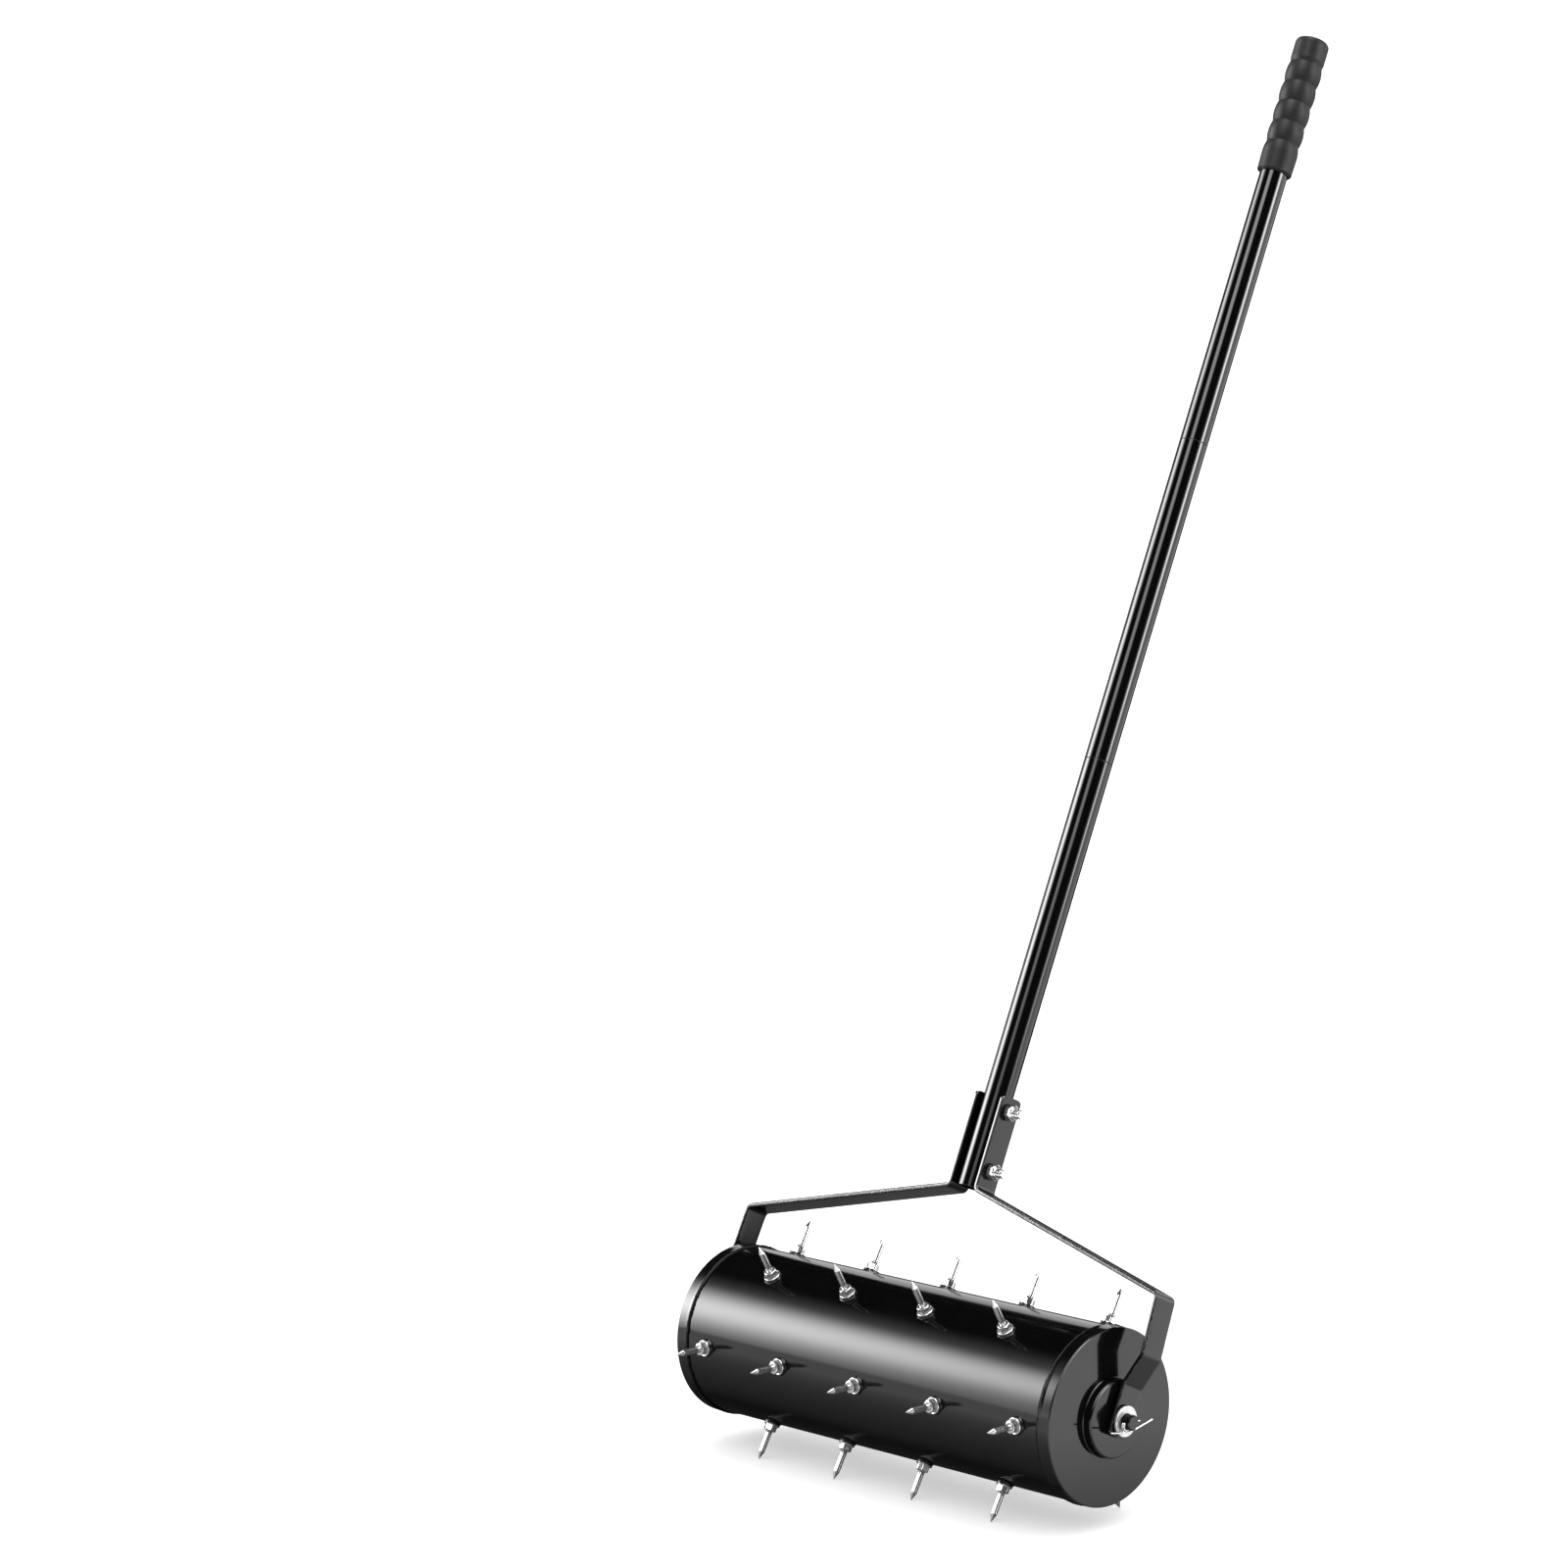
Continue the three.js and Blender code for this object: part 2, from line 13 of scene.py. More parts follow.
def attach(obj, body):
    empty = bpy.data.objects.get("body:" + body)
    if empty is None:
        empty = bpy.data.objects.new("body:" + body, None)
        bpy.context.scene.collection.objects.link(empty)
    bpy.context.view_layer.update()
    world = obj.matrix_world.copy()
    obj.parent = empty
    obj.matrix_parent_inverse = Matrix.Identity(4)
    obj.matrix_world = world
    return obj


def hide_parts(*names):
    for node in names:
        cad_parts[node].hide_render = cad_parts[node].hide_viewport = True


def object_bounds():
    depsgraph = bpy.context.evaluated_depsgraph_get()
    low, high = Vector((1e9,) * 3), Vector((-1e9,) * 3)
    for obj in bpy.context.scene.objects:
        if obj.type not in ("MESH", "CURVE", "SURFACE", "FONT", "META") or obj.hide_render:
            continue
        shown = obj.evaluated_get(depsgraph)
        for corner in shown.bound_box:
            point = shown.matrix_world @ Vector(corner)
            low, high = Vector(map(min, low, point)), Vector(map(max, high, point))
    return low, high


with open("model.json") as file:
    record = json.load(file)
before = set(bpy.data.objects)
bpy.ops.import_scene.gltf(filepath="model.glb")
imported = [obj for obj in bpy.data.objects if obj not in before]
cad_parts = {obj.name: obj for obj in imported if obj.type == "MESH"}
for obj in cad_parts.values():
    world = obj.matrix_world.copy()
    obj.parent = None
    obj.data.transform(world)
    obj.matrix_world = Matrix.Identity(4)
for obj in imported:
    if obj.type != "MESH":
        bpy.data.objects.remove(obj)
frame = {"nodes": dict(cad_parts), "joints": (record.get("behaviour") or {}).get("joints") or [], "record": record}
cad_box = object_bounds()
chance = random.Random(27)

# The photographed view, from the drum's centre, and the lens for a picture 36 mm wide
CAMERA_AZIMUTH = math.radians(45.603)
CAMERA_ELEVATION = math.radians(6.85)
CAMERA_ROLL = math.radians(-0.054)
CAMERA_DISTANCE = 3.94636
DRUM_RIGHT_OF_VIEW = 0.112813
DRUM_BELOW_VIEW = 0.498228
LENS_MM = 106.66
SENSOR_MM = 36.0

# Walls, clearances and rounded edges
FIT_GAP = 0.0003
SHELL_WALL = 0.0015
CAP_WALL = 0.0012
CAP_SKIRT = 0.012
CAP_EDGE = 0.0011
CAP_TAPER = 0.00055
CAP_FLARE = 0.0003
CAP_FLARE_LENGTH = 0.003
CAP_BOSS_RADIUS = 0.033
CAP_BOSS_HEIGHT = 0.008
CAP_BOSS_EDGE = 0.0018
CAP_NECK = 0.009
FINE_EDGE = 0.0003

# Weld boss under each spike, and the bead that seals each cap to the shell
BOSS_RADIUS = 0.007
BOSS_HEIGHT = 0.0021
BOSS_BEAD = 0.0012
BOSS_BEAD_WOBBLE = 0.00025
BEAD_LUMPS_PER_METRE = 400
BOSS_BEAD_STEPS = (0.1, 0.5), (0.45, 0.26), (0.85, 0.1)
BOSS_SUNK_SHARE = 0.1
SEAM_RADIUS = 0.00135
SEAM_WOBBLE = 0.0008
SEAM_WAVES = 9
SEAM_RIPPLES = 40
SEAM_RIPPLE_SHARE = 0.45

# Spike, its thread and its flange nut, with heights from the shell
STUD_RADIUS = 0.003
STUD_INSIDE = 0.003
STUD_COLLAR = 0.0025
STUD_PITCH = 0.001
SHANK_RADIUS = 0.0027
SPIKE_REACH = 0.0345
SPIKE_POINT = 0.007
SPIKE_TIP_RADIUS = 0.00025
THREAD_DEPTH_SHARE = 0.6
FLANGE_RADIUS = 0.0071
FLANGE_RIM = 0.0013
FLANGE_DISH = 0.0005
FLANGE_NUT_FLATS = 0.010
FLANGE_NUT_HEIGHT = 0.006

# Axle, washer and split pin
AXLE_RADIUS = 0.0065
AXLE_CHAMFER = 0.001
WASHER_RADIUS = 0.013
WASHER_EDGE = 0.0004
PIN_INSET = 0.005
PIN_WIRE = 0.00078
PIN_WIRE_GAP = 0.0001
PIN_BEND = 0.0015
PIN_EYE = 0.0022
PIN_EYE_NECK = 0.0012
PIN_SHORT_HUG = math.radians(40)
PIN_SHORT_RISE = math.radians(10)
PIN_SHORT_LEG = 0.014
PIN_LONG_FLAT = 0.0034
PIN_LONG_RISE = math.radians(14.5)
PIN_LONG_LEG = 0.0235
PIN_LONG_SPLAY = math.radians(4)
WIRE_END_RISE_SHARE = 0.4
WIRE_END_WIDTH_SHARE = 0.6

# Folded brackets of flat bar, and their rough sheared edges
BAR_THICK = 0.004
BAR_BEND = 0.003
BAR_END = 0.0035
BAR_EDGE = 0.0012
LEG_EDGE = 0.0017
BAR_STEP = 0.0012
BOSS_GAP = 0.0027
ARM_SLOPE = math.radians(13.65)
ARM_CORNER_OUT = 0.0079
LEG_SPLAY_OUT = 0.0108
LEG_SPLAY_HEIGHT = 0.0553
LEG_JOGGLE_HEIGHT = 0.0284
TAB_LENGTH = 0.0846
SHEAR_DEPTH = 0.00022
SHEAR_GRAIN = 0.0014
SHEAR_FINER = 3
SHEAR_CUT_SHARE = 0.35
TAB_SHEAR_SHARE = 0.15
TAB_PAINT_BELOW = 0.003
TAB_PAINT_ABOVE = 0.006
THICK_PAINT_HEIGHT = 0.10

# Handle tubes
TUBE_WALL = 0.001
NECK_TAPER = 0.012
NECK_LENGTH = 0.030
TUBE_LIP = 0.0005

# Soft grip
GRIP_CUFF = 0.01565
GRIP_TOP_CUFF = 0.01535
GRIP_BULGE = 0.0161
GRIP_GROOVE = 0.0145
GRIP_GROOVES = 5
GRIP_PITCH = 0.0193
GRIP_FIRST_GROOVE = 0.028
GRIP_GROOVE_ROUND = 0.0008
GRIP_END_WALL = 0.004
GRIP_SHOULDER = 0.0045
GRIP_CROWN = 0.0006
GRIP_RIM = 0.0014
GRIP_LIP = 0.0141
GRIP_LIP_LENGTH = 0.0008

# Bolts and lock nuts of the handle
BOLT_RADIUS = 0.004
BOLT_PITCH = 0.00125
BOLT_FLATS = 0.013
BOLT_HEAD = 0.0053
BOLT_NUT_COLLAR = 0.0018
BOLT_NUT_COLLAR_RADIUS = 0.0057
NYLON_RADIUS = 0.0048
NYLON_SUNK = 0.0003
NYLON_THICK = 0.0012
NUT_CHAMFER_SHARE = 0.93
BOLTS = "bolt_upper", "bolt_lower"

# Number of steps round or along a surface
DRUM_SIDES = 288
TUBE_SIDES = 96
ROD_SIDES = 72
NUT_SIDES = 96
STUD_SIDES = 40
WIRE_SIDES = 14
ARC_STEPS = 5
BEND_STEPS = 8
BULGE_STEPS = 14
THREAD_STEPS = 8
WIRE_TURN = math.radians(7)

# Degrees between faces up to which they are shaded as one smooth surface
SMOOTH = 32
WIRE_SMOOTH = 60
GRIP_SMOOTH = 50

# Places in the frame: the drum's axis, the leaning handle's axis, and what the solids give
hinge = frame["joints"][0]
mounts = {mount["name"]: mount for mount in frame["record"]["mounts"]}
drum_centre = Vector(hinge["pos_m"])
handle_axis = Vector(mounts["hand_grip"]["axis"])
lean = math.atan2(handle_axis.y, handle_axis.z)
UPRIGHT = Matrix.Translation(drum_centre)
LYING = Matrix.Rotation(math.pi / 2, 4, "Y")
ALONG_AXLE = UPRIGHT @ LYING
LEANING = UPRIGHT @ Matrix.Rotation(-lean, 4, "X")


def reach(node, place):
    """The lowest and highest corners of a CAD node in a local frame."""
    inverse = place.inverted()
    points = [inverse @ vertex.co for vertex in frame["nodes"][node].data.vertices]
    low = Vector([min(point[i] for point in points) for i in range(3)])
    high = Vector([max(point[i] for point in points) for i in range(3)])
    return low, high


def outwards(side):
    """A place whose local Z runs along the axle: to the right for side 1, to the left for side -1."""
    return ALONG_AXLE @ Matrix.Rotation(0 if side > 0 else math.pi, 4, "X")


def bolt_place(bolt, across=0.0):
    """A place on a bolt's axis, with local Z along it, at a distance across from the handle's axis."""
    low, high = reach(bolt, LEANING)
    return LEANING @ Matrix.Translation((across, 0, (low.z + high.z) / 2)) @ LYING


cap_reach = reach("end_cap_right", UPRIGHT)
shell_half = reach("drum_shell", UPRIGHT)[1].x
axle_half = reach("drum_axle", UPRIGHT)[1].x
washer_reach = reach("axle_washer_right", UPRIGHT)
bracket_reach = reach("bracket_right", LEANING)
lower_reach = reach("handle_tube_lower", LEANING)
middle_reach = reach("handle_tube_middle", LEANING)
upper_reach = reach("handle_tube_upper", LEANING)
grip_reach = reach("grip", LEANING)
boss_front = cap_reach[1].x
face_half = boss_front - CAP_BOSS_HEIGHT
cap_radius = cap_reach[1].z
drum_radius = cap_radius - CAP_WALL - FIT_GAP
tube_radius = lower_reach[1].x
tube_bore = tube_radius - TUBE_WALL
bar_half_width = bracket_reach[1].y
tab_centre = bracket_reach[0].x + BAR_THICK / 2
tab_outer = tab_centre + BAR_THICK / 2
leg_centre = boss_front + BOSS_GAP + BAR_THICK / 2


# Meshes: rings of points joined by faces

def ring(radius, height, sides):
    """Points round local Z. The radius may be a function of the turn, the height one of the radius."""
    points = []
    for i in range(sides):
        turn = 2 * math.pi * i / sides
        out = radius(turn) if callable(radius) else radius
        up = height(out) if callable(height) else height
        points.append(Vector((out * math.cos(turn), out * math.sin(turn), up)))
    return points


def skin(mesh, rings, place, closed=False):
    """Joins rings of points with faces. One point is a pole, and closed joins the last to the first."""
    made = [[mesh.verts.new(place @ point) for point in points] for points in rings]
    pairs = list(zip(made, made[1:]))
    if closed:
        pairs.append((made[-1], made[0]))
    faces = []
    for low, high in pairs:
        count = max(len(low), len(high))
        for i in range(count):
            j = (i + 1) % count
            corners = low[i % len(low)], low[j % len(low)], high[j % len(high)], high[i % len(high)]
            faces.append(mesh.faces.new(list(dict.fromkeys(corners))))
    return made, faces


def arc(centre, start, sweep, steps):
    """Points of an arc about a centre, from the arm start through the turn sweep."""
    angle = math.atan2(start.y, start.x)
    turns = [angle + sweep * k / steps for k in range(steps + 1)]
    return [centre + Vector((math.cos(turn), math.sin(turn))) * start.length for turn in turns]


def rounded(corners, closed=False):
    """A chain of (x, y, radius) corners, each rounded by an arc of its radius unless that is 0."""
    points = []
    for i, (x, y, radius) in enumerate(corners):
        here = Vector((x, y))
        inner = closed or 0 < i < len(corners) - 1
        if not radius or not inner:
            points.append(here)
            continue
        before = (Vector(corners[i - 1][:2]) - here).normalized()
        after = (Vector(corners[(i + 1) % len(corners)][:2]) - here).normalized()
        half = before.angle(after) / 2
        centre = here + (before + after).normalized() * radius / math.sin(half)
        start = here + before * radius / math.tan(half) - centre
        end = here + after * radius / math.tan(half) - centre
        sweep = math.atan2(end.y, end.x) - math.atan2(start.y, start.x)
        sweep = (sweep + math.pi) % (2 * math.pi) - math.pi
        points.extend(arc(centre, start, sweep, ARC_STEPS))
    return points


def turned_rings(profile, sides):
    """Rings for a profile of (radius, height) points; a point on the axis stays one point."""
    return [ring(out, up, 1 if out == 0 else sides) for out, up in profile]


def hexagon(flats):
    """A function of the turn: from a nut's axis to its side, the corners cut back to a circle."""
    corner = flats / 2 / math.cos(math.pi / 6) - FINE_EDGE

    def out(turn):
        off_flat = (turn + math.pi / 6) % (math.pi / 3) - math.pi / 6
        return min(flats / 2 / math.cos(off_flat), corner)
    return out


def chamfered(flats, top, side=1):
    """A function of the radius: the height of a nut's face, cut down to a cone at its corners."""
    def up(out):
        return top - side * max(0.0, out - NUT_CHAMFER_SHARE * flats / 2) * math.tan(math.pi / 6)
    return up


def thread_rings(radius, pitch, low, high, sides):
    """Rings of a screw thread between two heights, fading out at both ends."""
    depth = THREAD_DEPTH_SHARE * pitch
    count = math.ceil((high - low) / pitch * THREAD_STEPS)
    rings = []
    for i in range(count + 1):
        height = low + (high - low) * i / count
        fade = min(1.0, (height - low) / pitch, (high - height) / pitch)

        def out(turn, height=height, fade=fade):
            phase = (height / pitch - turn / (2 * math.pi)) % 1
            return radius - depth * fade * (1 - abs(2 * phase - 1))
        rings.append(ring(out, height, sides))
    return rings


def piece(name, mesh, material, body, node=None, smooth=SMOOTH):
    """Makes an object of a mesh with its material, that rides on a body and may stand for a CAD node."""
    bmesh.ops.recalc_face_normals(mesh, faces=mesh.faces)
    data = bpy.data.meshes.new(name)
    mesh.to_mesh(data)
    mesh.free()
    data.materials.append(material)
    data.polygons.foreach_set("use_smooth", [True] * len(data.polygons))
    data.set_sharp_from_angle(angle=math.radians(smooth))
    made = bpy.data.objects.new(name, data)
    bpy.context.scene.collection.objects.link(made)
    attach(made, body)
    if node:
        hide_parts(node)
    even(made)
    return made


def skinned(name, rings, place, material, body, node=None, closed=True, smooth=SMOOTH):
    """A piece whose mesh is one skin over rings of points."""
    mesh = bmesh.new()
    skin(mesh, rings, place, closed)
    return piece(name, mesh, material, body, node, smooth)


def even(made):
    """Weighs normals by area, so that a rounded edge leaves the shading of flat faces alone."""
    weighted = made.modifiers.new("even", "WEIGHTED_NORMAL")
    weighted.keep_sharp = True
    weighted.weight = 100


def drill(target, bores):
    """Cuts round holes in a piece: each a place, with local Z along it, a radius and a half length."""
    cutter = bmesh.new()
    for place, radius, half in bores:
        profile = [(0, -half), (radius, -half), (radius, half), (0, half)]
        skin(cutter, turned_rings(profile, ROD_SIDES), place)
    bmesh.ops.recalc_face_normals(cutter, faces=cutter.faces)
    data = bpy.data.meshes.new("cutter")
    cutter.to_mesh(data)
    cutter.free()
    tool = bpy.data.objects.new("cutter", data)
    bpy.context.scene.collection.objects.link(tool)
    target.modifiers.clear()
    cut = target.modifiers.new("bores", "BOOLEAN")
    cut.operation = "DIFFERENCE"
    cut.solver = "EXACT"
    cut.object = tool
    bpy.context.view_layer.update()
    evaluated = target.evaluated_get(bpy.context.evaluated_depsgraph_get())
    result = bpy.data.meshes.new_from_object(evaluated)
    result.set_sharp_from_angle(angle=math.radians(SMOOTH))
    target.modifiers.clear()
    target.data = result
    bpy.data.objects.remove(tool)
    even(target)


# Materials

class Nodes:
    """A tree of nodes, with short ways to add nodes and join them."""

    def __init__(self, tree):
        self.tree = tree

    def feed(self, socket, value):
        """Sets a socket, or joins it to another one."""
        if isinstance(value, bpy.types.NodeSocket):
            self.tree.links.new(value, socket)
        else:
            socket.default_value = value

    def add(self, kind, values=None, **settings):
        """A node with its settings, and values or other sockets for its inputs."""
        node = self.tree.nodes.new(kind)
        for name, value in settings.items():
            setattr(node, name, value)
        for name, value in (values or {}).items():
            self.feed(node.inputs[name], value)
        return node

    def math(self, operation, first, second):
        return self.add("ShaderNodeMath", {0: first, 1: second}, operation=operation).outputs["Value"]

    def total(self, first, second):
        return self.math("ADD", first, second)

    def product(self, first, second):
        return self.math("MULTIPLY", first, second)

    def first_bounce(self, first):
        """1 for rays up to the depth first, those of a plain reflection, and less for one within it."""
        values = {
            "Value": self.add("ShaderNodeLightPath").outputs["Ray Depth"],
            "From Min": first, "From Max": first + 1,
            "To Min": 1.0, "To Max": SECOND_BOUNCE,
        }
        return self.add("ShaderNodeMapRange", values, clamp=True).outputs["Result"]

    def in_reflections(self, plain, glossy, output):
        """Shows the shader glossy to reflections, and the shader plain to everything else."""
        reflected = self.add("ShaderNodeLightPath").outputs["Is Glossy Ray"]
        mix = self.add("ShaderNodeMixShader", {0: reflected, 1: plain, 2: glossy})
        self.feed(output.inputs["Surface"], mix.outputs["Shader"])


class Finish(Nodes):
    """A procedural material with a principled shader."""

    def __init__(self, name, color, metallic=0.0, roughness=0.4):
        self.material = bpy.data.materials.new(name)
        self.material.use_nodes = True
        super().__init__(self.material.node_tree)
        self.shader = self.tree.nodes["Principled BSDF"]
        self.give("Base Color", (*color, 1))
        self.give("Metallic", metallic)
        self.give("Roughness", roughness)
        self.place = self.add("ShaderNodeTexCoord").outputs["Object"]

    def give(self, name, value):
        self.feed(self.shader.inputs[name], value)

    def grain(self, size, detail=2.0):
        """Noise from 0 to 1, with features about size metres across."""
        values = {"Vector": self.place, "Scale": 1 / size, "Detail": detail}
        return self.add("ShaderNodeTexNoise", values).outputs["Fac"]

    def cells(self, size):
        """The distance to the nearest of scattered points that lie about size metres apart."""
        values = {"Vector": self.place, "Scale": 1 / size}
        return self.add("ShaderNodeTexVoronoi", values).outputs["Distance"]

    def spread(self, value, low, high, start=0.3, end=0.7):
        """Maps the value's range from start to end onto low to high."""
        values = {"Value": value, "From Min": start, "From Max": end, "To Min": low, "To Max": high}
        return self.add("ShaderNodeMapRange", values, clamp=True).outputs["Result"]

    def ramp(self, value, dark, light, start=0.3, end=0.7):
        """A colour between dark and light, by a value from start to end."""
        node = self.add("ShaderNodeValToRGB", {"Fac": value})
        low, high = node.color_ramp.elements
        low.position, high.position = start, end
        low.color, high.color = (*dark, 1), (*light, 1)
        return node.outputs["Color"]

    def bump(self, heights, depth):
        """Heights from 0 to 1 as a relief of the given depth in metres."""
        values = {"Height": heights, "Distance": depth, "Strength": 1.0}
        self.give("Normal", self.add("ShaderNodeBump", values).outputs["Normal"])


# Gloss paint: its clouds, its dust with the specks' size as a share of their distance, its orange peel
PAINT_CLOUD = 0.03
PAINT_LIGHTEST = 1.35
DUST_APART = 0.006
DUST_SIZE_SHARE = 0.02, 0.05
PEEL_FINE = 0.0022
PEEL_COARSE = 0.009


def powder_coat(name, black, roughness, peel, shine=0.5):
    """Black gloss paint: faint orange peel, cloudy gloss and a few dust specks."""
    made = Finish(name, black)
    made.give("Specular IOR Level", shine)
    cloud = made.grain(PAINT_CLOUD, detail=4.0)
    made.give("Base Color", made.ramp(cloud, black, [PAINT_LIGHTEST * channel for channel in black]))
    clouded = made.spread(cloud, roughness * 0.8, roughness * 1.2)
    dusty = made.spread(made.cells(DUST_APART), 0.15, 0.0, *DUST_SIZE_SHARE)
    made.give("Roughness", made.total(clouded, dusty))
    made.bump(made.total(made.grain(PEEL_FINE), made.grain(PEEL_COARSE)), peel)
    return made.material


# Sheared edges: the size and depth of the specks, and the colours of paint and of worn paint
SHEAR_SPECK = 0.0009
SHEAR_RELIEF = 0.00012
PAINT_ON_SHEAR = 0.004, 0.004, 0.0045
WORN_SHEAR = 0.30, 0.30, 0.31


def sheared_edge():
    """Paint over a sheared edge: smooth on the tabs, worn in specks on the arms, thick on the legs."""
    made = Finish("sheared_edge", PAINT_ON_SHEAR)
    coarse = made.grain(SHEAR_SPECK, detail=4.0)
    height = made.add("ShaderNodeSeparateXYZ", {"Vector": made.place}).outputs["Z"]
    tab = (LEANING @ Vector((0, 0, bracket_reach[1].z - TAB_LENGTH))).z
    leg = (LEANING @ Vector((0, 0, THICK_PAINT_HEIGHT))).z
    above_leg = made.spread(height, 0.0, 1.0, leg, tab)
    below_tab = made.spread(height, 1.0, 0.0, tab - TAB_PAINT_BELOW, tab + TAB_PAINT_ABOVE)
    rough = made.product(above_leg, below_tab)
    worn = made.product(made.spread(coarse, 0.0, 1.0, 0.52, 0.62), rough)
    made.give("Base Color", made.ramp(worn, PAINT_ON_SHEAR, WORN_SHEAR, 0.0, 1.0))
    made.give("Metallic", made.spread(worn, 0.0, 0.8, 0.0, 1.0))
    made.give("Specular IOR Level", made.spread(below_tab, 1.0, 0.5, 0.0, 1.0))
    uneven = made.spread(coarse, 0.10, 0.16)
    made.give("Roughness", made.total(uneven, made.spread(rough, 0.0, 0.24, 0.0, 1.0)))
    made.bump(made.product(coarse, made.spread(rough, 0.03, 1.0, 0.0, 1.0)), SHEAR_RELIEF)
    return made.material


# Zinc plating: how metallic and how cloudy it is, and the sizes of its haze, scratches and waves
ZINC_METAL_SHARE = 0.88
ZINC_CLOUD = 0.004
ZINC_DULLEST = 0.86
ZINC_HAZE = 0.0012
ZINC_SCRATCH = 0.0006
ZINC_WAVE = 0.0025


def zinc_plate(name, bright, roughness, streak):
    """Zinc plating: a cloudy pale metal with fine scratches and a hazy, matt share."""
    made = Finish(name, bright, metallic=ZINC_METAL_SHARE)
    cloud = made.grain(ZINC_CLOUD, detail=4.0)
    made.give("Base Color", made.ramp(cloud, [ZINC_DULLEST * channel for channel in bright], bright))
    haze = made.grain(ZINC_HAZE, detail=3.0)
    made.give("Roughness", made.spread(haze, roughness * 0.7, roughness * 1.4))
    made.bump(made.total(made.grain(ZINC_SCRATCH), made.grain(ZINC_WAVE)), streak)
    return made.material


# Nylon ring of a lock nut: its clouded gloss and its relief
NYLON_GRAIN = 0.001
NYLON_PITS = 0.0008
NYLON_RELIEF = 0.00003


def nylon():
    made = Finish("nylon_insert", (0.62, 0.64, 0.66))
    made.give("Subsurface Weight", 0.2)
    made.give("Roughness", made.spread(made.grain(NYLON_GRAIN), 0.3, 0.5))
    made.bump(made.grain(NYLON_PITS), NYLON_RELIEF)
    return made.material


# Soft vinyl: its pebbles, rubbed places and waves, the depth of its relief and its darkest and lightest
VINYL_PEBBLE = 0.0007
VINYL_RUB = 0.02
VINYL_WAVE = 0.0015
VINYL_RELIEF = 0.000006
VINYL_DARK = 0.009, 0.009, 0.0094
VINYL_LIGHT = 0.012, 0.012, 0.0124


def soft_vinyl():
    """Matt black grip: fine pebbled skin, with polish where a hand rubs."""
    made = Finish("soft_vinyl", VINYL_LIGHT)
    made.give("Specular IOR Level", 0.22)
    rubbed = made.grain(VINYL_RUB, detail=3.0)
    made.give("Base Color", made.ramp(rubbed, VINYL_DARK, VINYL_LIGHT))
    made.give("Roughness", made.spread(rubbed, 0.52, 0.44))
    made.bump(made.total(made.cells(VINYL_PEBBLE), made.grain(VINYL_WAVE)), VINYL_RELIEF)
    return made.material


SHELL_BLACK = powder_coat("shell_powder_coat", (0.0016, 0.0016, 0.0017), 0.1, 0.0000015)
CAP_BLACK = powder_coat("cap_powder_coat", (0.0025, 0.0025, 0.0027), 0.09, 0.000002)
TUBE_BLACK = powder_coat("tube_powder_coat", (0.0016, 0.0016, 0.0017), 0.1, 0.0000015)
BAR_BLACK = powder_coat("bar_powder_coat", (0.003, 0.003, 0.0032), 0.16, 0.000005)
WELD_BLACK = powder_coat("weld_paint", (0.0018, 0.0018, 0.0019), 0.3, 0.00002)
SEALANT = powder_coat("seam_sealant", (0.0015, 0.0015, 0.0016), 0.5, 0.00003, shine=0.2)
SHEARED = sheared_edge()
SPIKE_ZINC = zinc_plate("spike_zinc", (0.66, 0.67, 0.68), 0.17, 0.000003)
NUT_ZINC = zinc_plate("nut_zinc", (0.74, 0.75, 0.76), 0.20, 0.000003)
WASHER_ZINC = zinc_plate("washer_zinc", (0.60, 0.60, 0.61), 0.36, 0.000006)
WIRE_ZINC = zinc_plate("wire_zinc", (0.82, 0.82, 0.83), 0.22, 0.000004)
NYLON = nylon()
VINYL = soft_vinyl()


# Drum

def spike_sites():
    """Each spike's CAD node, and its place: local Z out of the shell, from the shell's surface."""
    sites = []
    rows = sorted({name.split("_")[1] for name in frame["nodes"] if name.startswith("spike_")})
    for number, row in enumerate(rows):
        turn = math.pi / 6 - number * math.pi / 3
        for node in sorted(name for name in frame["nodes"] if name.startswith("spike_" + row)):
            low, high = reach(node, UPRIGHT)
            along = Vector(((low.x + high.x) / 2, 0, drum_radius))
            place = UPRIGHT @ Matrix.Rotation(-turn, 4, "X") @ Matrix.Translation(along)
            sites.append((node, place))
    return sites


def rolled_shell():
    """The drum's tube, with softly broken ends."""
    inner = drum_radius - SHELL_WALL
    profile = rounded([
        (drum_radius, -shell_half, FINE_EDGE),
        (drum_radius, shell_half, FINE_EDGE),
        (inner, shell_half, FINE_EDGE),
        (inner, -shell_half, FINE_EDGE),
    ], closed=True)
    made = skinned("rolled_shell", turned_rings(profile, DRUM_SIDES), ALONG_AXLE, SHELL_BLACK, "drum",
                   "drum_shell")
    drill(made, [(place, STUD_RADIUS + FIT_GAP / 2, 2 * SHELL_WALL) for _, place in spike_sites()])


def on_shell(point):
    """Lowers a point beside a spike's axis by the shell's fall there."""
    fall = drum_radius - math.sqrt(drum_radius ** 2 - point.y ** 2)
    return point - Vector((0, 0, fall))


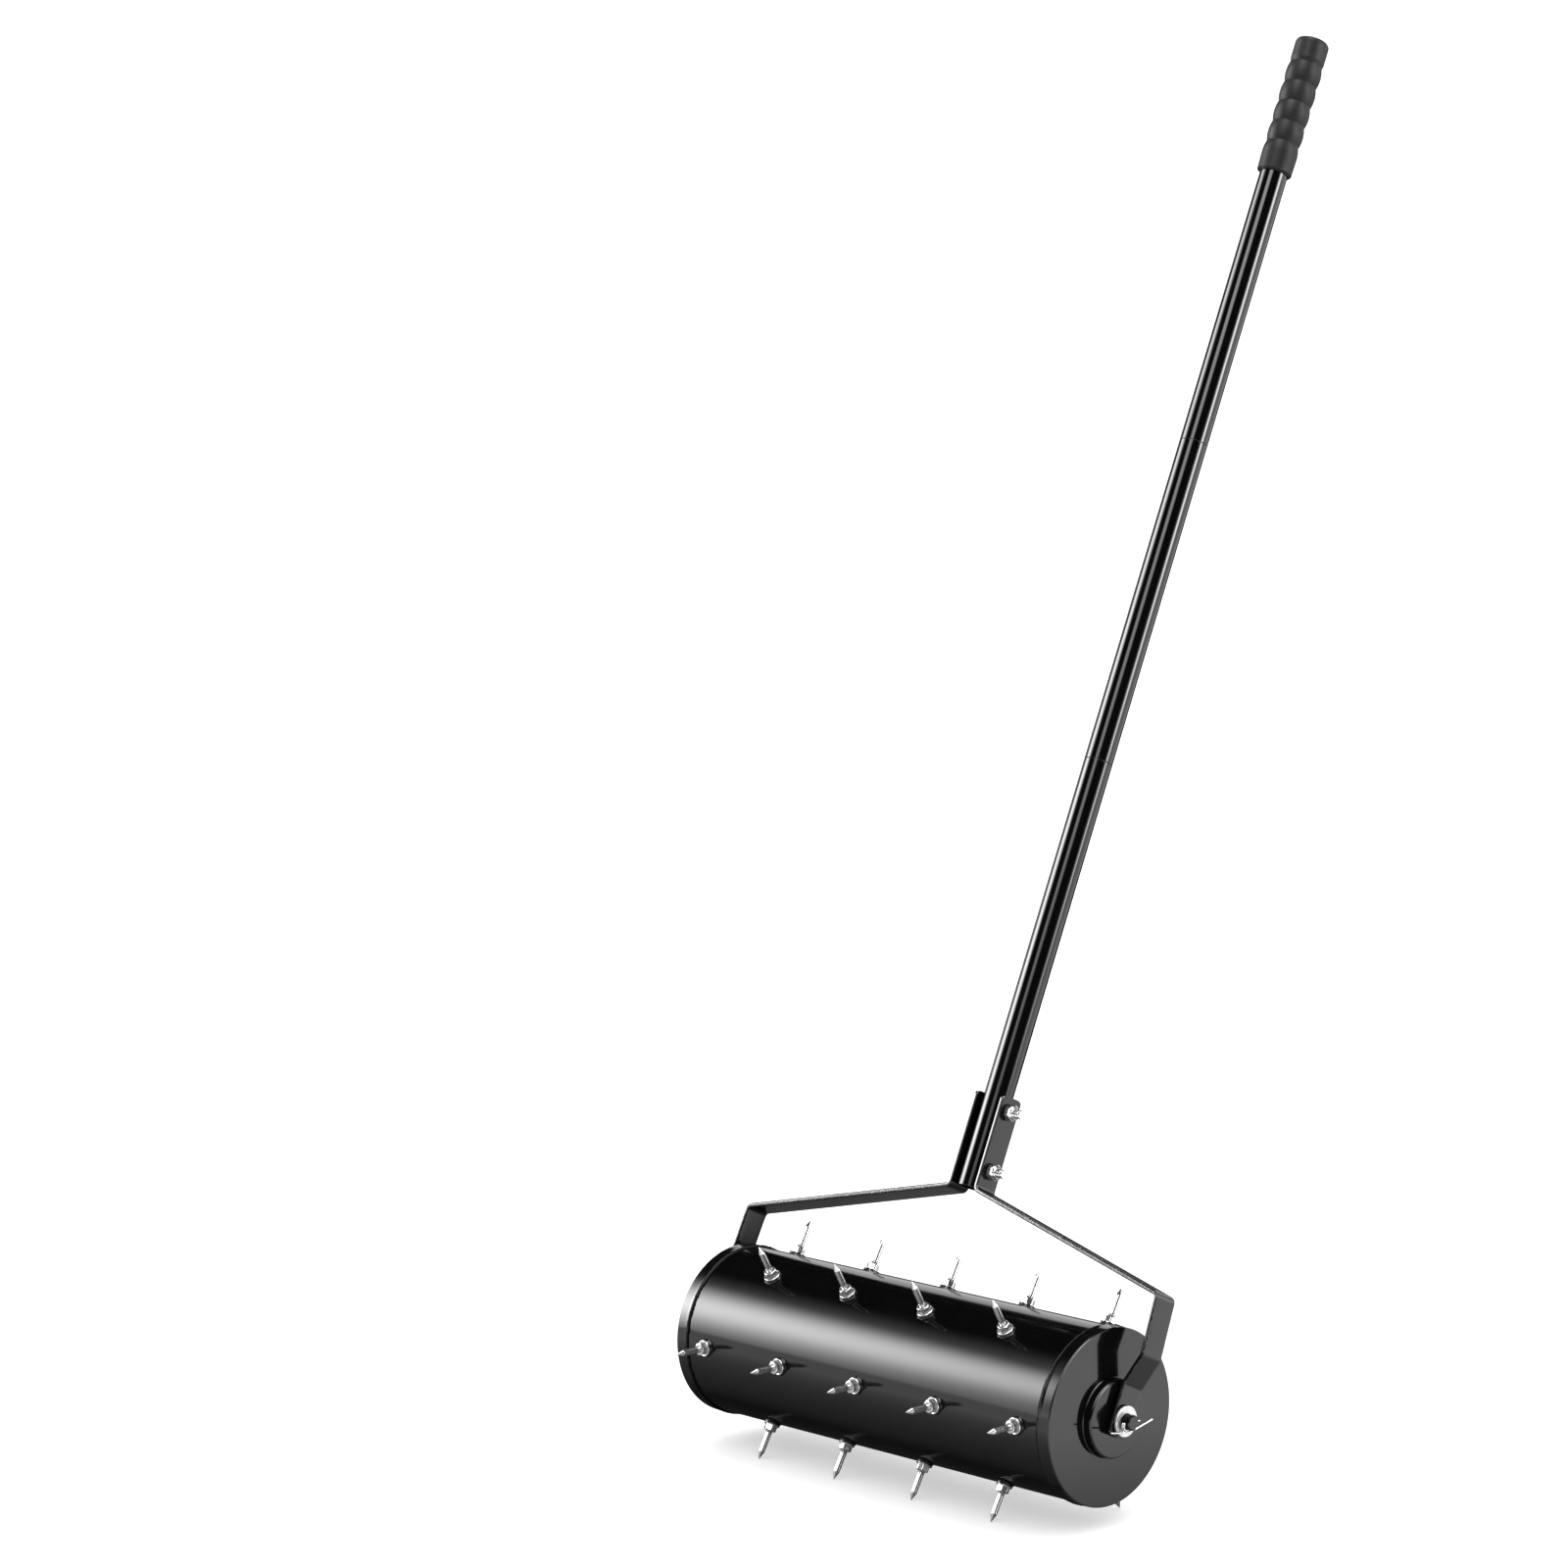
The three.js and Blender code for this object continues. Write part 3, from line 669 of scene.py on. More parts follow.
def weld_boss(mesh, place):
    """One boss with the uneven bead of weld round its foot, shaped to the shell."""
    seed = chance.random() * 100
    bore = STUD_RADIUS + FIT_GAP / 2
    top = turned_rings([
        (bore, BOSS_HEIGHT),
        (BOSS_RADIUS - FINE_EDGE, BOSS_HEIGHT),
        (BOSS_RADIUS, BOSS_HEIGHT - FINE_EDGE),
    ], STUD_SIDES)
    foot = []
    for out, up in (*BOSS_BEAD_STEPS, (1.0, -BOSS_SUNK_SHARE)):
        bead = []
        for point in ring(BOSS_RADIUS + out * BOSS_BEAD, up * BOSS_HEIGHT, STUD_SIDES):
            x, y = point.x * BEAD_LUMPS_PER_METRE, point.y * BEAD_LUMPS_PER_METRE
            wobble = noise.noise(Vector((x, y, seed)))
            bead.append(on_shell(point * (1 + out * wobble * BOSS_BEAD_WOBBLE / BOSS_RADIUS * 2)))
        foot.append(bead)
    under = [on_shell(point) for point in ring(bore, -BOSS_SUNK_SHARE * BOSS_HEIGHT, STUD_SIDES)]
    skin(mesh, [*top, *foot, under], place, closed=True)


def weld_bosses():
    mesh = bmesh.new()
    for _, place in spike_sites():
        weld_boss(mesh, place)
    piece("weld_bosses", mesh, WELD_BLACK, "drum")


def end_cap(end, side):
    """A pressed cap: skirt over the shell, flat face, raised boss and the neck that holds the axle."""
    neck = AXLE_RADIUS + FIT_GAP / 2
    profile = rounded([
        (cap_radius, face_half - CAP_SKIRT, FINE_EDGE),
        (cap_radius - CAP_FLARE, face_half - CAP_SKIRT + CAP_FLARE_LENGTH, CAP_FLARE_LENGTH),
        (cap_radius - CAP_TAPER, face_half, CAP_EDGE),
        (CAP_BOSS_RADIUS, face_half, CAP_BOSS_EDGE / 2),
        (CAP_BOSS_RADIUS - FIT_GAP, boss_front, CAP_BOSS_EDGE),
        (neck, boss_front, FINE_EDGE),
        (neck, boss_front - CAP_NECK, 0),
        (neck + CAP_WALL, boss_front - CAP_NECK, 0),
        (neck + CAP_WALL, boss_front - CAP_WALL, FINE_EDGE),
        (CAP_BOSS_RADIUS - CAP_WALL, boss_front - CAP_WALL, CAP_BOSS_EDGE / 3),
        (CAP_BOSS_RADIUS - CAP_WALL, face_half - CAP_WALL, CAP_BOSS_EDGE / 3),
        (cap_radius - CAP_WALL - CAP_TAPER, face_half - CAP_WALL, CAP_EDGE / 4),
        (cap_radius - CAP_WALL, face_half - CAP_WALL - 2 * CAP_TAPER, 0),
        (cap_radius - CAP_WALL, face_half - CAP_SKIRT, FINE_EDGE),
    ], closed=True)
    skinned(f"pressed_cap_{end}", turned_rings(profile, DRUM_SIDES), outwards(side), CAP_BLACK, "drum",
            f"end_cap_{end}")


def wire_ring(centre, first, second, radius):
    """A ring round a wire's centre, in the plane of two directions."""
    angles = [2 * math.pi * k / WIRE_SIDES for k in range(WIRE_SIDES)]
    return [centre + radius * (math.cos(a) * first + math.sin(a) * second) for a in angles]


def seam_bead(end, side):
    """The uneven line of sealant where a cap's skirt meets the shell."""
    middle = side * (face_half - CAP_SKIRT - SEAM_RADIUS / 2)
    rings = []
    for i in range(DRUM_SIDES):
        turn = 2 * math.pi * i / DRUM_SIDES
        out = Vector((0, math.sin(turn), math.cos(turn)))
        wobble = noise.noise(Vector((out.y * SEAM_WAVES, out.z * SEAM_WAVES, side * 5)))
        ripple = noise.noise(Vector((out.y * SEAM_RIPPLES, out.z * SEAM_RIPPLES, side * 5)))
        fat = SEAM_RADIUS * (1.0 + SEAM_RIPPLE_SHARE * ripple)
        along = middle - side * SEAM_WOBBLE * wobble
        centre = out * (drum_radius + SEAM_RADIUS / 4) + Vector((along, 0, 0))
        rings.append(wire_ring(centre, out, Vector((1, 0, 0)), fat))
    skinned(f"seam_bead_{end}", rings, UPRIGHT, SEALANT, "drum")


def spike_stud(node, place):
    """A spike: stud through the shell, threaded collar, shank and point."""
    nut_top = BOSS_HEIGHT + FIT_GAP + FLANGE_NUT_HEIGHT
    collar = nut_top + STUD_COLLAR
    foot = -SHELL_WALL - STUD_INSIDE
    shoulder = SPIKE_REACH - SPIKE_POINT
    shank = rounded([
        (STUD_RADIUS, collar - FINE_EDGE, 0),
        (STUD_RADIUS, collar, FINE_EDGE / 2),
        (SHANK_RADIUS, collar + FINE_EDGE, FINE_EDGE / 3),
        (SHANK_RADIUS, shoulder, STUD_RADIUS / 4),
        (SPIKE_TIP_RADIUS, SPIKE_REACH - FINE_EDGE, SPIKE_TIP_RADIUS / 2),
        (0, SPIKE_REACH - FINE_EDGE / 2, 0),
    ])
    thread = thread_rings(STUD_RADIUS, STUD_PITCH, nut_top - STUD_PITCH, collar - FINE_EDGE, STUD_SIDES)
    inner_end = [(0, foot), (STUD_RADIUS - FINE_EDGE, foot), (STUD_RADIUS, foot + FINE_EDGE)]
    rings = [*turned_rings(inner_end, STUD_SIDES), *thread[:-1], *turned_rings(shank, STUD_SIDES)]
    name = node.replace("spike", "spike_stud")
    skinned(name, rings, place, SPIKE_ZINC, "drum", node, closed=False)


def flange_nut(node, place):
    """The hexagonal nut with its flange that locks a spike."""
    base = BOSS_HEIGHT + FIT_GAP / 3
    top = base + FLANGE_NUT_HEIGHT
    bore = STUD_RADIUS
    side = hexagon(FLANGE_NUT_FLATS)
    dish = base + FLANGE_RIM - FLANGE_DISH
    rim = rounded([
        (bore, base, 0),
        (FLANGE_RADIUS, base, FLANGE_RIM / 3),
        (FLANGE_RADIUS, base + FLANGE_RIM, FLANGE_RIM / 2),
        (FLANGE_RADIUS - FLANGE_RIM, dish, FLANGE_RIM / 4),
        (FLANGE_RADIUS - 1.2 * FLANGE_RIM, dish, 0),
    ])
    rings = turned_rings([
        *rim,
        (side, dish),
        (side, chamfered(FLANGE_NUT_FLATS, top)),
        (NUT_CHAMFER_SHARE * FLANGE_NUT_FLATS / 2, top),
        (bore + FINE_EDGE, top),
        (bore, top - FINE_EDGE),
    ], NUT_SIDES)
    turn = Matrix.Rotation(chance.uniform(0, math.pi / 3), 4, "Z")
    skinned(node.replace("spike", "flange_nut"), rings, place @ turn, NUT_ZINC, "drum")


def axle_rod():
    tip = AXLE_RADIUS - AXLE_CHAMFER
    profile = rounded([
        (0, -axle_half, 0),
        (tip, -axle_half, FINE_EDGE),
        (AXLE_RADIUS, -axle_half + AXLE_CHAMFER, FINE_EDGE),
        (AXLE_RADIUS, axle_half - AXLE_CHAMFER, FINE_EDGE),
        (tip, axle_half, FINE_EDGE),
        (0, axle_half, 0),
    ])
    made = skinned("axle_rod", turned_rings(profile, ROD_SIDES), ALONG_AXLE, TUBE_BLACK, "drum",
                   "drum_axle", closed=False)
    bore = 2 * PIN_WIRE + PIN_WIRE_GAP + FIT_GAP
    crosswise = Matrix.Rotation(math.pi / 2, 4, "X")
    places = [Matrix.Translation((side * (axle_half - PIN_INSET), 0, 0)) for side in (-1, 1)]
    drill(made, [(UPRIGHT @ place @ crosswise, bore, 2 * AXLE_RADIUS) for place in places])


def plain_washer(end, side):
    low, high = washer_reach[0].x, washer_reach[1].x
    bore = AXLE_RADIUS + FIT_GAP
    profile = rounded([
        (WASHER_RADIUS, low, WASHER_EDGE / 2),
        (WASHER_RADIUS, high, WASHER_EDGE),
        (bore, high, WASHER_EDGE / 2),
        (bore, low, WASHER_EDGE / 4),
    ], closed=True)
    skinned(f"plain_washer_{end}", turned_rings(profile, ROD_SIDES), outwards(side), WASHER_ZINC, "drum",
            f"axle_washer_{end}")


class BentWire:
    """A wire bent step by step: straight runs, and right-handed turns about a direction."""

    def __init__(self, start, heading):
        self.points = [start.copy()]
        self.heading = heading.copy()

    def run(self, length):
        self.points.append(self.points[-1] + self.heading * length)
        return self

    def turn(self, radius, angle, about):
        start = self.points[-1]
        centre = start + about.cross(self.heading) * radius
        steps = math.ceil(angle / WIRE_TURN)
        for i in range(1, steps + 1):
            self.points.append(centre + Quaternion(about, angle * i / steps) @ (start - centre))
        self.heading = Quaternion(about, angle) @ self.heading
        return self


def wire_rings(points, radius):
    """Rings square to a line of points, carried along it without twist, with rounded ends."""
    headings = []
    for i in range(len(points)):
        before, after = points[max(i - 1, 0)], points[min(i + 1, len(points) - 1)]
        headings.append((after - before).normalized())
    out = headings[0].orthogonal().normalized()
    rings = []
    for i, (point, heading) in enumerate(zip(points, headings)):
        if i:
            out = headings[i - 1].rotation_difference(heading) @ out
        rings.append(wire_ring(point, out, heading.cross(out), radius))
    for end, near, sign in ((0, 0, -1), (len(points) - 1, -1, 1)):
        tip = points[end] + sign * headings[end] * radius * WIRE_END_RISE_SHARE
        worn = [tip + (corner - points[end]) * WIRE_END_WIDTH_SHARE for corner in rings[near]]
        if sign < 0:
            rings = [[tip], worn, *rings]
        else:
            rings = [*rings, worn, [tip]]
    return rings


def split_pin(end, side):
    """A split pin through the axle, its eye behind and its two legs bent down round the front."""
    x, y, z = Vector((1, 0, 0)), Vector((0, 1, 0)), Vector((0, 0, 1))
    offset = PIN_WIRE + PIN_WIRE_GAP / 2
    hug = AXLE_RADIUS + PIN_WIRE + FIT_GAP
    through = AXLE_RADIUS + hug - PIN_BEND

    def lane(shift):
        return Vector((side * (axle_half - PIN_INSET + shift), AXLE_RADIUS, 0))
    short = BentWire(lane(-offset), -y).run(through).turn(PIN_BEND, math.pi / 2, x)
    short.turn(hug - PIN_BEND, PIN_SHORT_HUG, x)
    short.turn(PIN_BEND, PIN_SHORT_HUG + math.pi / 2 + PIN_SHORT_RISE, -x).run(PIN_SHORT_LEG)
    long = BentWire(lane(offset), -y).run(through).turn(PIN_BEND, math.pi / 2, x)
    long.turn(hug - PIN_BEND, math.pi / 2, x).run(PIN_LONG_FLAT)
    long.turn(2 * PIN_BEND, PIN_LONG_RISE, x)
    long.heading = Quaternion(z, -side * PIN_LONG_SPLAY) @ long.heading
    long.run(PIN_LONG_LEG)
    flare = math.acos((offset + PIN_EYE_NECK) / (PIN_EYE + PIN_EYE_NECK))
    eye = BentWire(lane(-offset), y).turn(PIN_EYE_NECK, flare, side * z)
    eye.turn(PIN_EYE, math.pi + 2 * flare, -side * z).turn(PIN_EYE_NECK, flare, side * z)
    points = [*reversed(short.points), *eye.points[1:-1], *long.points]
    skinned(f"split_pin_wire_{end}", wire_rings(points, PIN_WIRE), UPRIGHT, WIRE_ZINC, "drum",
            f"split_pin_{end}", closed=False, smooth=WIRE_SMOOTH)


# Brackets

def left_of(heading):
    return Vector((-heading.y, heading.x))


def bent_line(corners, radius):
    """Stations along a line with rounded bends: each a point and its left-hand normal."""
    stations = []
    for i, corner in enumerate(corners):
        if i in (0, len(corners) - 1):
            first, second = (corners[0], corners[1]) if i == 0 else (corners[-2], corners[-1])
            stations.append((corner, left_of((second - first).normalized())))
            continue
        before = (corner - corners[i - 1]).normalized()
        after = (corners[i + 1] - corner).normalized()
        bend = math.asin(before.cross(after))
        side = math.copysign(1, bend)
        start = corner - before * radius * math.tan(abs(bend) / 2)
        centre = start + left_of(before) * side * radius
        for k in range(BEND_STEPS + 1):
            normal = Matrix.Rotation(bend * k / BEND_STEPS, 2) @ left_of(before)
            stations.append((centre - normal * side * radius, normal))
    return stations


def finely(stations, step):
    """Splits the straight runs between stations into short steps."""
    fine = [stations[0]]
    for (start, _), (end, normal) in zip(stations, stations[1:]):
        count = max(1, round((end - start).length / step))
        fine.extend((start.lerp(end, k / count), normal) for k in range(1, count + 1))
    return fine


def bar_section(edge):
    """The bar's section as (across, through) points, with corners of the radius edge."""
    wide, thin = bar_half_width - edge, BAR_THICK / 2 - edge
    turns = [math.pi / 2 * k / 3 for k in range(4)]
    corner = [Vector((math.cos(t), math.sin(t))) * edge for t in turns]
    points = [Vector((wide, thin)) + c for c in corner]
    points += [Vector((wide * k / 4, BAR_THICK / 2)) for k in (2, 0, -2)]
    points += [Vector((-wide - c.x, thin + c.y)) for c in reversed(corner)]
    points += [Vector((-bar_half_width, thin * k)) for k in (0.5, 0, -0.5)]
    points += [Vector((-wide - c.x, -thin - c.y)) for c in corner]
    points += [Vector((wide * k / 4, -BAR_THICK / 2)) for k in (-2, 0, 2)]
    points += [Vector((wide + c.x, -thin - c.y)) for c in reversed(corner)]
    points += [Vector((bar_half_width, thin * k)) for k in (-0.5, 0, 0.5)]
    return points


def shear(along, through, seed):
    """How far a sheared edge stands back: smooth where the blade cut, ragged where the bar broke."""
    torn = SHEAR_CUT_SHARE + (1 - SHEAR_CUT_SHARE) * max(0.0, through / (BAR_THICK / 2))
    x, y = along / SHEAR_GRAIN, through / SHEAR_GRAIN
    coarse = noise.noise(Vector((x, y, seed)))
    fine = noise.noise(Vector((x * SHEAR_FINER, y * SHEAR_FINER, seed + 9)))
    return SHEAR_DEPTH * torn * max(0.0, 0.5 + coarse + 0.5 * fine)


def folded_bar(end, side):
    """A bracket: tab, sloping arm, folded leg with a joggle, and the foot with the axle's hole."""
    tab_top = bracket_reach[1].z
    foot_height = tab_top - TAB_LENGTH
    corner_x = leg_centre + ARM_CORNER_OUT
    corner_height = foot_height - (corner_x - tab_centre) * math.tan(ARM_SLOPE)
    line = bent_line([Vector(corner) for corner in (
        (tab_centre, tab_top),
        (tab_centre, foot_height),
        (corner_x, corner_height),
        (leg_centre + LEG_SPLAY_OUT, LEG_SPLAY_HEIGHT),
        (leg_centre, LEG_JOGGLE_HEIGHT),
        (leg_centre, bracket_reach[0].z),
    )], BAR_BEND + BAR_THICK / 2)
    stations = finely(line, BAR_STEP)
    lengths = [0.0]
    for (start, _), (stop, _) in zip(stations, stations[1:]):
        lengths.append(lengths[-1] + (stop - start).length)
    seed = chance.random() * 50
    sharp, worn = bar_section(BAR_EDGE), bar_section(LEG_EDGE)
    rings = []
    for (point, normal), along in zip(stations, lengths):
        leg_share = min(1.0, max(0.0, (corner_height - point.y) / (4 * BAR_BEND)))
        section = [a.lerp(b, leg_share) for a, b in zip(sharp, worn)]
        from_end = min(along, lengths[-1] - along, BAR_END)
        drawn_in = BAR_END - math.sqrt(max(0.0, BAR_END ** 2 - (BAR_END - from_end) ** 2))
        ragged = TAB_SHEAR_SHARE if point.y > foot_height else 1.0
        points = []
        for share in section:
            across = share.x - math.copysign(drawn_in, share.x) * abs(share.x) / bar_half_width
            if abs(share.x) > bar_half_width - BAR_EDGE / 2:
                back = ragged * shear(along, share.y * side, seed + share.x)
                across -= math.copysign(back, across)
            spot = point + normal * share.y
            points.append(Vector((side * spot.x, across, spot.y)))
        rings.append(points)
    mesh = bmesh.new()
    made, faces = skin(mesh, rings, LEANING)
    mesh.faces.new(made[0])
    mesh.faces.new(made[-1])
    for number, face in enumerate(faces):
        first = sharp[number % len(sharp)]
        second = sharp[(number + 1) % len(sharp)]
        torn = min(abs(first.x), abs(second.x)) > bar_half_width - BAR_EDGE / 2
        face.material_index = 1 if torn else 0
    node = f"bracket_{end}"
    bar = piece(f"folded_bar_{end}", mesh, BAR_BLACK, "frame", node)
    bar.data.materials.append(SHEARED)
    axle_place = ALONG_AXLE @ Matrix.Translation((0, 0, side * leg_centre))
    bores = [(axle_place, AXLE_RADIUS + FIT_GAP, BAR_THICK)]
    for bolt in BOLTS:
        bores.append((bolt_place(bolt, side * tab_centre), BOLT_RADIUS + FIT_GAP, BAR_THICK))
    drill(bar, bores)


# Handle

def handle_tube(name, node, span, necked):
    """A tube with softly broken ends, and a necked end inside the tube above it."""
    low, top = span[0].z, span[1].z
    neck = tube_bore - FIT_GAP / 2
    joint = top - NECK_LENGTH
    upper_end = [(tube_radius, top, FINE_EDGE), (tube_bore, top, FINE_EDGE)]
    if necked:
        upper_end = [
            (tube_radius, joint - FIT_GAP, TUBE_LIP),
            (neck, joint + TUBE_WALL, TUBE_LIP),
            (neck, top, FINE_EDGE),
            (neck - TUBE_WALL, top, FINE_EDGE),
            (neck - TUBE_WALL, joint, FINE_EDGE),
            (tube_bore, joint - NECK_TAPER, FINE_EDGE),
        ]
    corners = [(tube_radius, low, TUBE_LIP), *upper_end, (tube_bore, low, FINE_EDGE)]
    rings = turned_rings(rounded(corners, closed=True), TUBE_SIDES)
    return skinned(name, rings, LEANING, TUBE_BLACK, "frame", node)


def handle_tubes():
    lower = handle_tube("lower_tube", "handle_tube_lower", lower_reach, True)
    drill(lower, [(bolt_place(bolt), BOLT_RADIUS + FIT_GAP, 2 * tube_radius) for bolt in BOLTS])
    handle_tube("middle_tube", "handle_tube_middle", middle_reach, True)
    handle_tube("upper_tube", "handle_tube_upper", upper_reach, False)


def bulge(bottom):
    """One bulge of the grip, an arc from the groove at the height bottom to the next groove."""
    rise = GRIP_BULGE - GRIP_GROOVE
    half = GRIP_PITCH / 2
    radius = (half * half + rise * rise) / (2 * rise)
    spread = math.asin(half / radius)
    centre = Vector((GRIP_BULGE - radius, bottom + half))
    start = Vector((math.cos(spread), -math.sin(spread))) * radius
    return arc(centre, start, 2 * spread, BULGE_STEPS)


def soft_grip():
    """The grip: lip, rolled rim, cuff, bulges between rounded grooves, cuff and a crowned end."""
    bottom = grip_reach[0].z + GRIP_LIP_LENGTH
    top = grip_reach[1].z
    first = bottom + GRIP_FIRST_GROOVE
    last = first + (GRIP_GROOVES - 1) * GRIP_PITCH
    corners = [(point.x, point.y, 0) for point in bulge(first - GRIP_PITCH)[BULGE_STEPS // 2:-1]]
    for i in range(GRIP_GROOVES - 1):
        points = bulge(first + i * GRIP_PITCH)
        corners.append((points[0].x, points[0].y, GRIP_GROOVE_ROUND))
        corners.extend((point.x, point.y, 0) for point in points[1:-1])
    corners.append((GRIP_GROOVE, last, GRIP_GROOVE_ROUND))
    corners.append((GRIP_CUFF - FIT_GAP, last + GRIP_PITCH / 5, GRIP_PITCH / 8))
    corners.append((GRIP_TOP_CUFF, top, GRIP_SHOULDER))
    corners.append((GRIP_TOP_CUFF / 3, top, GRIP_TOP_CUFF / 4))
    corners.append((0, top - GRIP_CROWN / 3, 0))
    bore = tube_radius + FIT_GAP / 3
    profile = rounded([
        (0, top - GRIP_END_WALL, 0),
        (bore, top - GRIP_END_WALL, 0),
        (bore, grip_reach[0].z, FINE_EDGE),
        (GRIP_LIP, grip_reach[0].z, FINE_EDGE),
        (GRIP_LIP, bottom, FINE_EDGE / 2),
        (GRIP_CUFF, bottom, GRIP_RIM),
        *corners,
    ])
    skinned("soft_grip", turned_rings(profile, TUBE_SIDES), LEANING, VINYL, "frame",
            "grip", closed=False, smooth=GRIP_SMOOTH)


def hex_bolt(name, node, place, span):
    """A hexagon head bolt from its head on the left to its chamfered threaded tip."""
    head, tip = span[0].x, span[1].x
    seat = head + BOLT_HEAD
    side = hexagon(BOLT_FLATS)
    core = BOLT_RADIUS - THREAD_DEPTH_SHARE * BOLT_PITCH
    head_rings = turned_rings([
        (0, head),
        (NUT_CHAMFER_SHARE * BOLT_FLATS / 2, head),
        (side, chamfered(BOLT_FLATS, head, -1)),
        (side, seat - FINE_EDGE),
        (lambda turn: side(turn) - FINE_EDGE, seat),
        (BOLT_RADIUS, seat),
    ], NUT_SIDES)
    thread = thread_rings(BOLT_RADIUS, BOLT_PITCH, tab_outer, tip - BOLT_PITCH / 2, NUT_SIDES)
    rings = [*head_rings, *thread, *turned_rings([(core, tip), (0, tip)], NUT_SIDES)]
    skinned(name, rings, place, NUT_ZINC, "frame", node, closed=False)


def lock_nut(name, node, place, span):
    """A lock nut: chamfered hexagon with a rolled collar, and the nylon ring that it holds."""
    base, top = span[0].x - FIT_GAP * 2 / 3, span[1].x
    hex_top = top - BOLT_NUT_COLLAR
    side = hexagon(BOLT_FLATS)
    collar = BOLT_NUT_COLLAR_RADIUS
    bore = BOLT_RADIUS + FIT_GAP / 3
    rings = turned_rings([
        (bore, base),
        (NUT_CHAMFER_SHARE * BOLT_FLATS / 2, base),
        (side, chamfered(BOLT_FLATS, base, -1)),
        (side, chamfered(BOLT_FLATS, hex_top)),
        (NUT_CHAMFER_SHARE * BOLT_FLATS / 2, hex_top),
        (collar, hex_top + FINE_EDGE),
        (collar, top - 3 * FINE_EDGE),
        (collar - FINE_EDGE, top - FINE_EDGE),
        (collar - 2 * FINE_EDGE, top),
        (NYLON_RADIUS, top - FINE_EDGE),
        (NYLON_RADIUS, hex_top),
        (bore, hex_top),
    ], NUT_SIDES)
    turn = Matrix.Rotation(chance.uniform(0, math.pi / 3), 4, "Z")
    skinned(name, rings, place @ turn, NUT_ZINC, "frame", node)
    ring_top = top - NYLON_SUNK
    profile = rounded([
        (bore, ring_top - NYLON_THICK, 0),
        (NYLON_RADIUS, ring_top - NYLON_THICK, 0),
        (NYLON_RADIUS, ring_top, FINE_EDGE),
        (bore, ring_top, FINE_EDGE),
    ], closed=True)
    insert = turned_rings(profile, TUBE_SIDES)
    skinned(name.replace("lock_nut", "nylon_ring"), insert, place, NYLON, "frame")


def fasteners():
    for bolt in BOLTS:
        end = bolt.split("_")[1]
        hex_bolt(f"hex_bolt_{end}", bolt, bolt_place(bolt), reach(bolt, LEANING))
        lock_nut(f"lock_nut_{end}", f"nut_{end}", bolt_place(bolt), reach(f"nut_{end}", LEANING))


# Studio: floor, light and camera

FLOOR_HALF = 40.0
FLOOR_WHITE = 0.9
FLOOR_GLOW = 0.35
TENT_LIGHT = 1.35

# The floor's brightness in reflections, painted as two (metres, brightness) pairs for each direction, measured
# from the drum's centre: a painted shadow round the drum, and painted light to the right with a painted sheen,
# less bright seen steeply and more at shallow angles
GLEAM_FRONT = (0.05, 0.02), (0.40, 1.1)
GLEAM_BACK = (0.05, 0.0), (0.60, 0.5)
GLEAM_FAR_BACK = (0.70, 0.0), (1.30, -0.5)
GLEAM_RIGHT = (0.18, 0.0), (0.24, 0.55)
GLEAM_FAR_RIGHT = (0.24, 0.0), (0.46, 0.45)
GLEAM_STEEP = 0.7
GLEAM_SHALLOW = 1.75
GLEAM_STEEP_FACING = 0.34
GLEAM_SHALLOW_FACING = 0.8
GLEAM_MOST = 1.75

# How much of the light a reflection within a reflection shows
SECOND_BOUNCE = 0.18


def towards(azimuth, elevation):
    """A direction by its azimuth, 0 along -Y and 90 degrees along +X, and its elevation."""
    flat = math.cos(elevation)
    return Vector((math.sin(azimuth) * flat, -math.cos(azimuth) * flat, math.sin(elevation)))


def floor():
    data = bpy.data.meshes.new("floor")
    level = cad_box[0].z
    signs = (-1, -1), (1, -1), (1, 1), (-1, 1)
    data.from_pydata([(x * FLOOR_HALF, y * FLOOR_HALF, level) for x, y in signs], [], [(0, 1, 2, 3)])
    made = bpy.data.objects.new("floor", data)
    bpy.context.scene.collection.objects.link(made)
    white = Finish("floor_white", (FLOOR_WHITE,) * 3, roughness=0.9)
    white.give("Specular IOR Level", 0.0)
    white.give("Emission Color", (1, 1, 1, 1))
    white.give("Emission Strength", FLOOR_GLOW)
    data.materials.append(white.material)
    painted_floor_gleam(white)


def painted_floor_gleam(white):
    """Paints the floor's brightness in reflections: a painted shadow round the drum, and painted light with a
    painted sheen to the right.
    """
    place = white.add("ShaderNodeSeparateXYZ", {"Vector": white.place}).outputs

    def away(axis, middle, sign, near, far):
        start, end = middle + sign * near[0], middle + sign * far[0]
        return white.spread(place[axis], near[1], far[1], start, end)
    # Painted sheen: the glow to the right is scaled up where the floor is seen at a shallow angle, and down where
    # it is seen steeply
    facing = white.add("ShaderNodeLayerWeight", {"Blend": 0.5}).outputs["Facing"]
    gloss = white.spread(facing, GLEAM_STEEP, GLEAM_SHALLOW, GLEAM_STEEP_FACING, GLEAM_SHALLOW_FACING)
    right = white.total(away("X", 0.0, 1, *GLEAM_RIGHT), away("X", 0.0, 1, *GLEAM_FAR_RIGHT))
    level = white.product(right, gloss)
    # Painted shadow: the glow is darkest round the drum, brighter in front of it and behind it, and fades again
    # far behind it
    for sign, reach_of_gleam in ((-1, GLEAM_FRONT), (1, GLEAM_BACK), (1, GLEAM_FAR_BACK)):
        level = white.total(level, away("Y", drum_centre.y, sign, *reach_of_gleam))
    most = white.add("ShaderNodeClamp", {"Value": level, "Min": 0.0, "Max": GLEAM_MOST})
    seen = white.product(most.outputs["Result"], white.first_bounce(1.0))
    glow = white.add("ShaderNodeEmission", {"Strength": seen}).outputs["Emission"]
    white.in_reflections(white.shader.outputs["BSDF"], glow, white.tree.nodes["Material Output"])


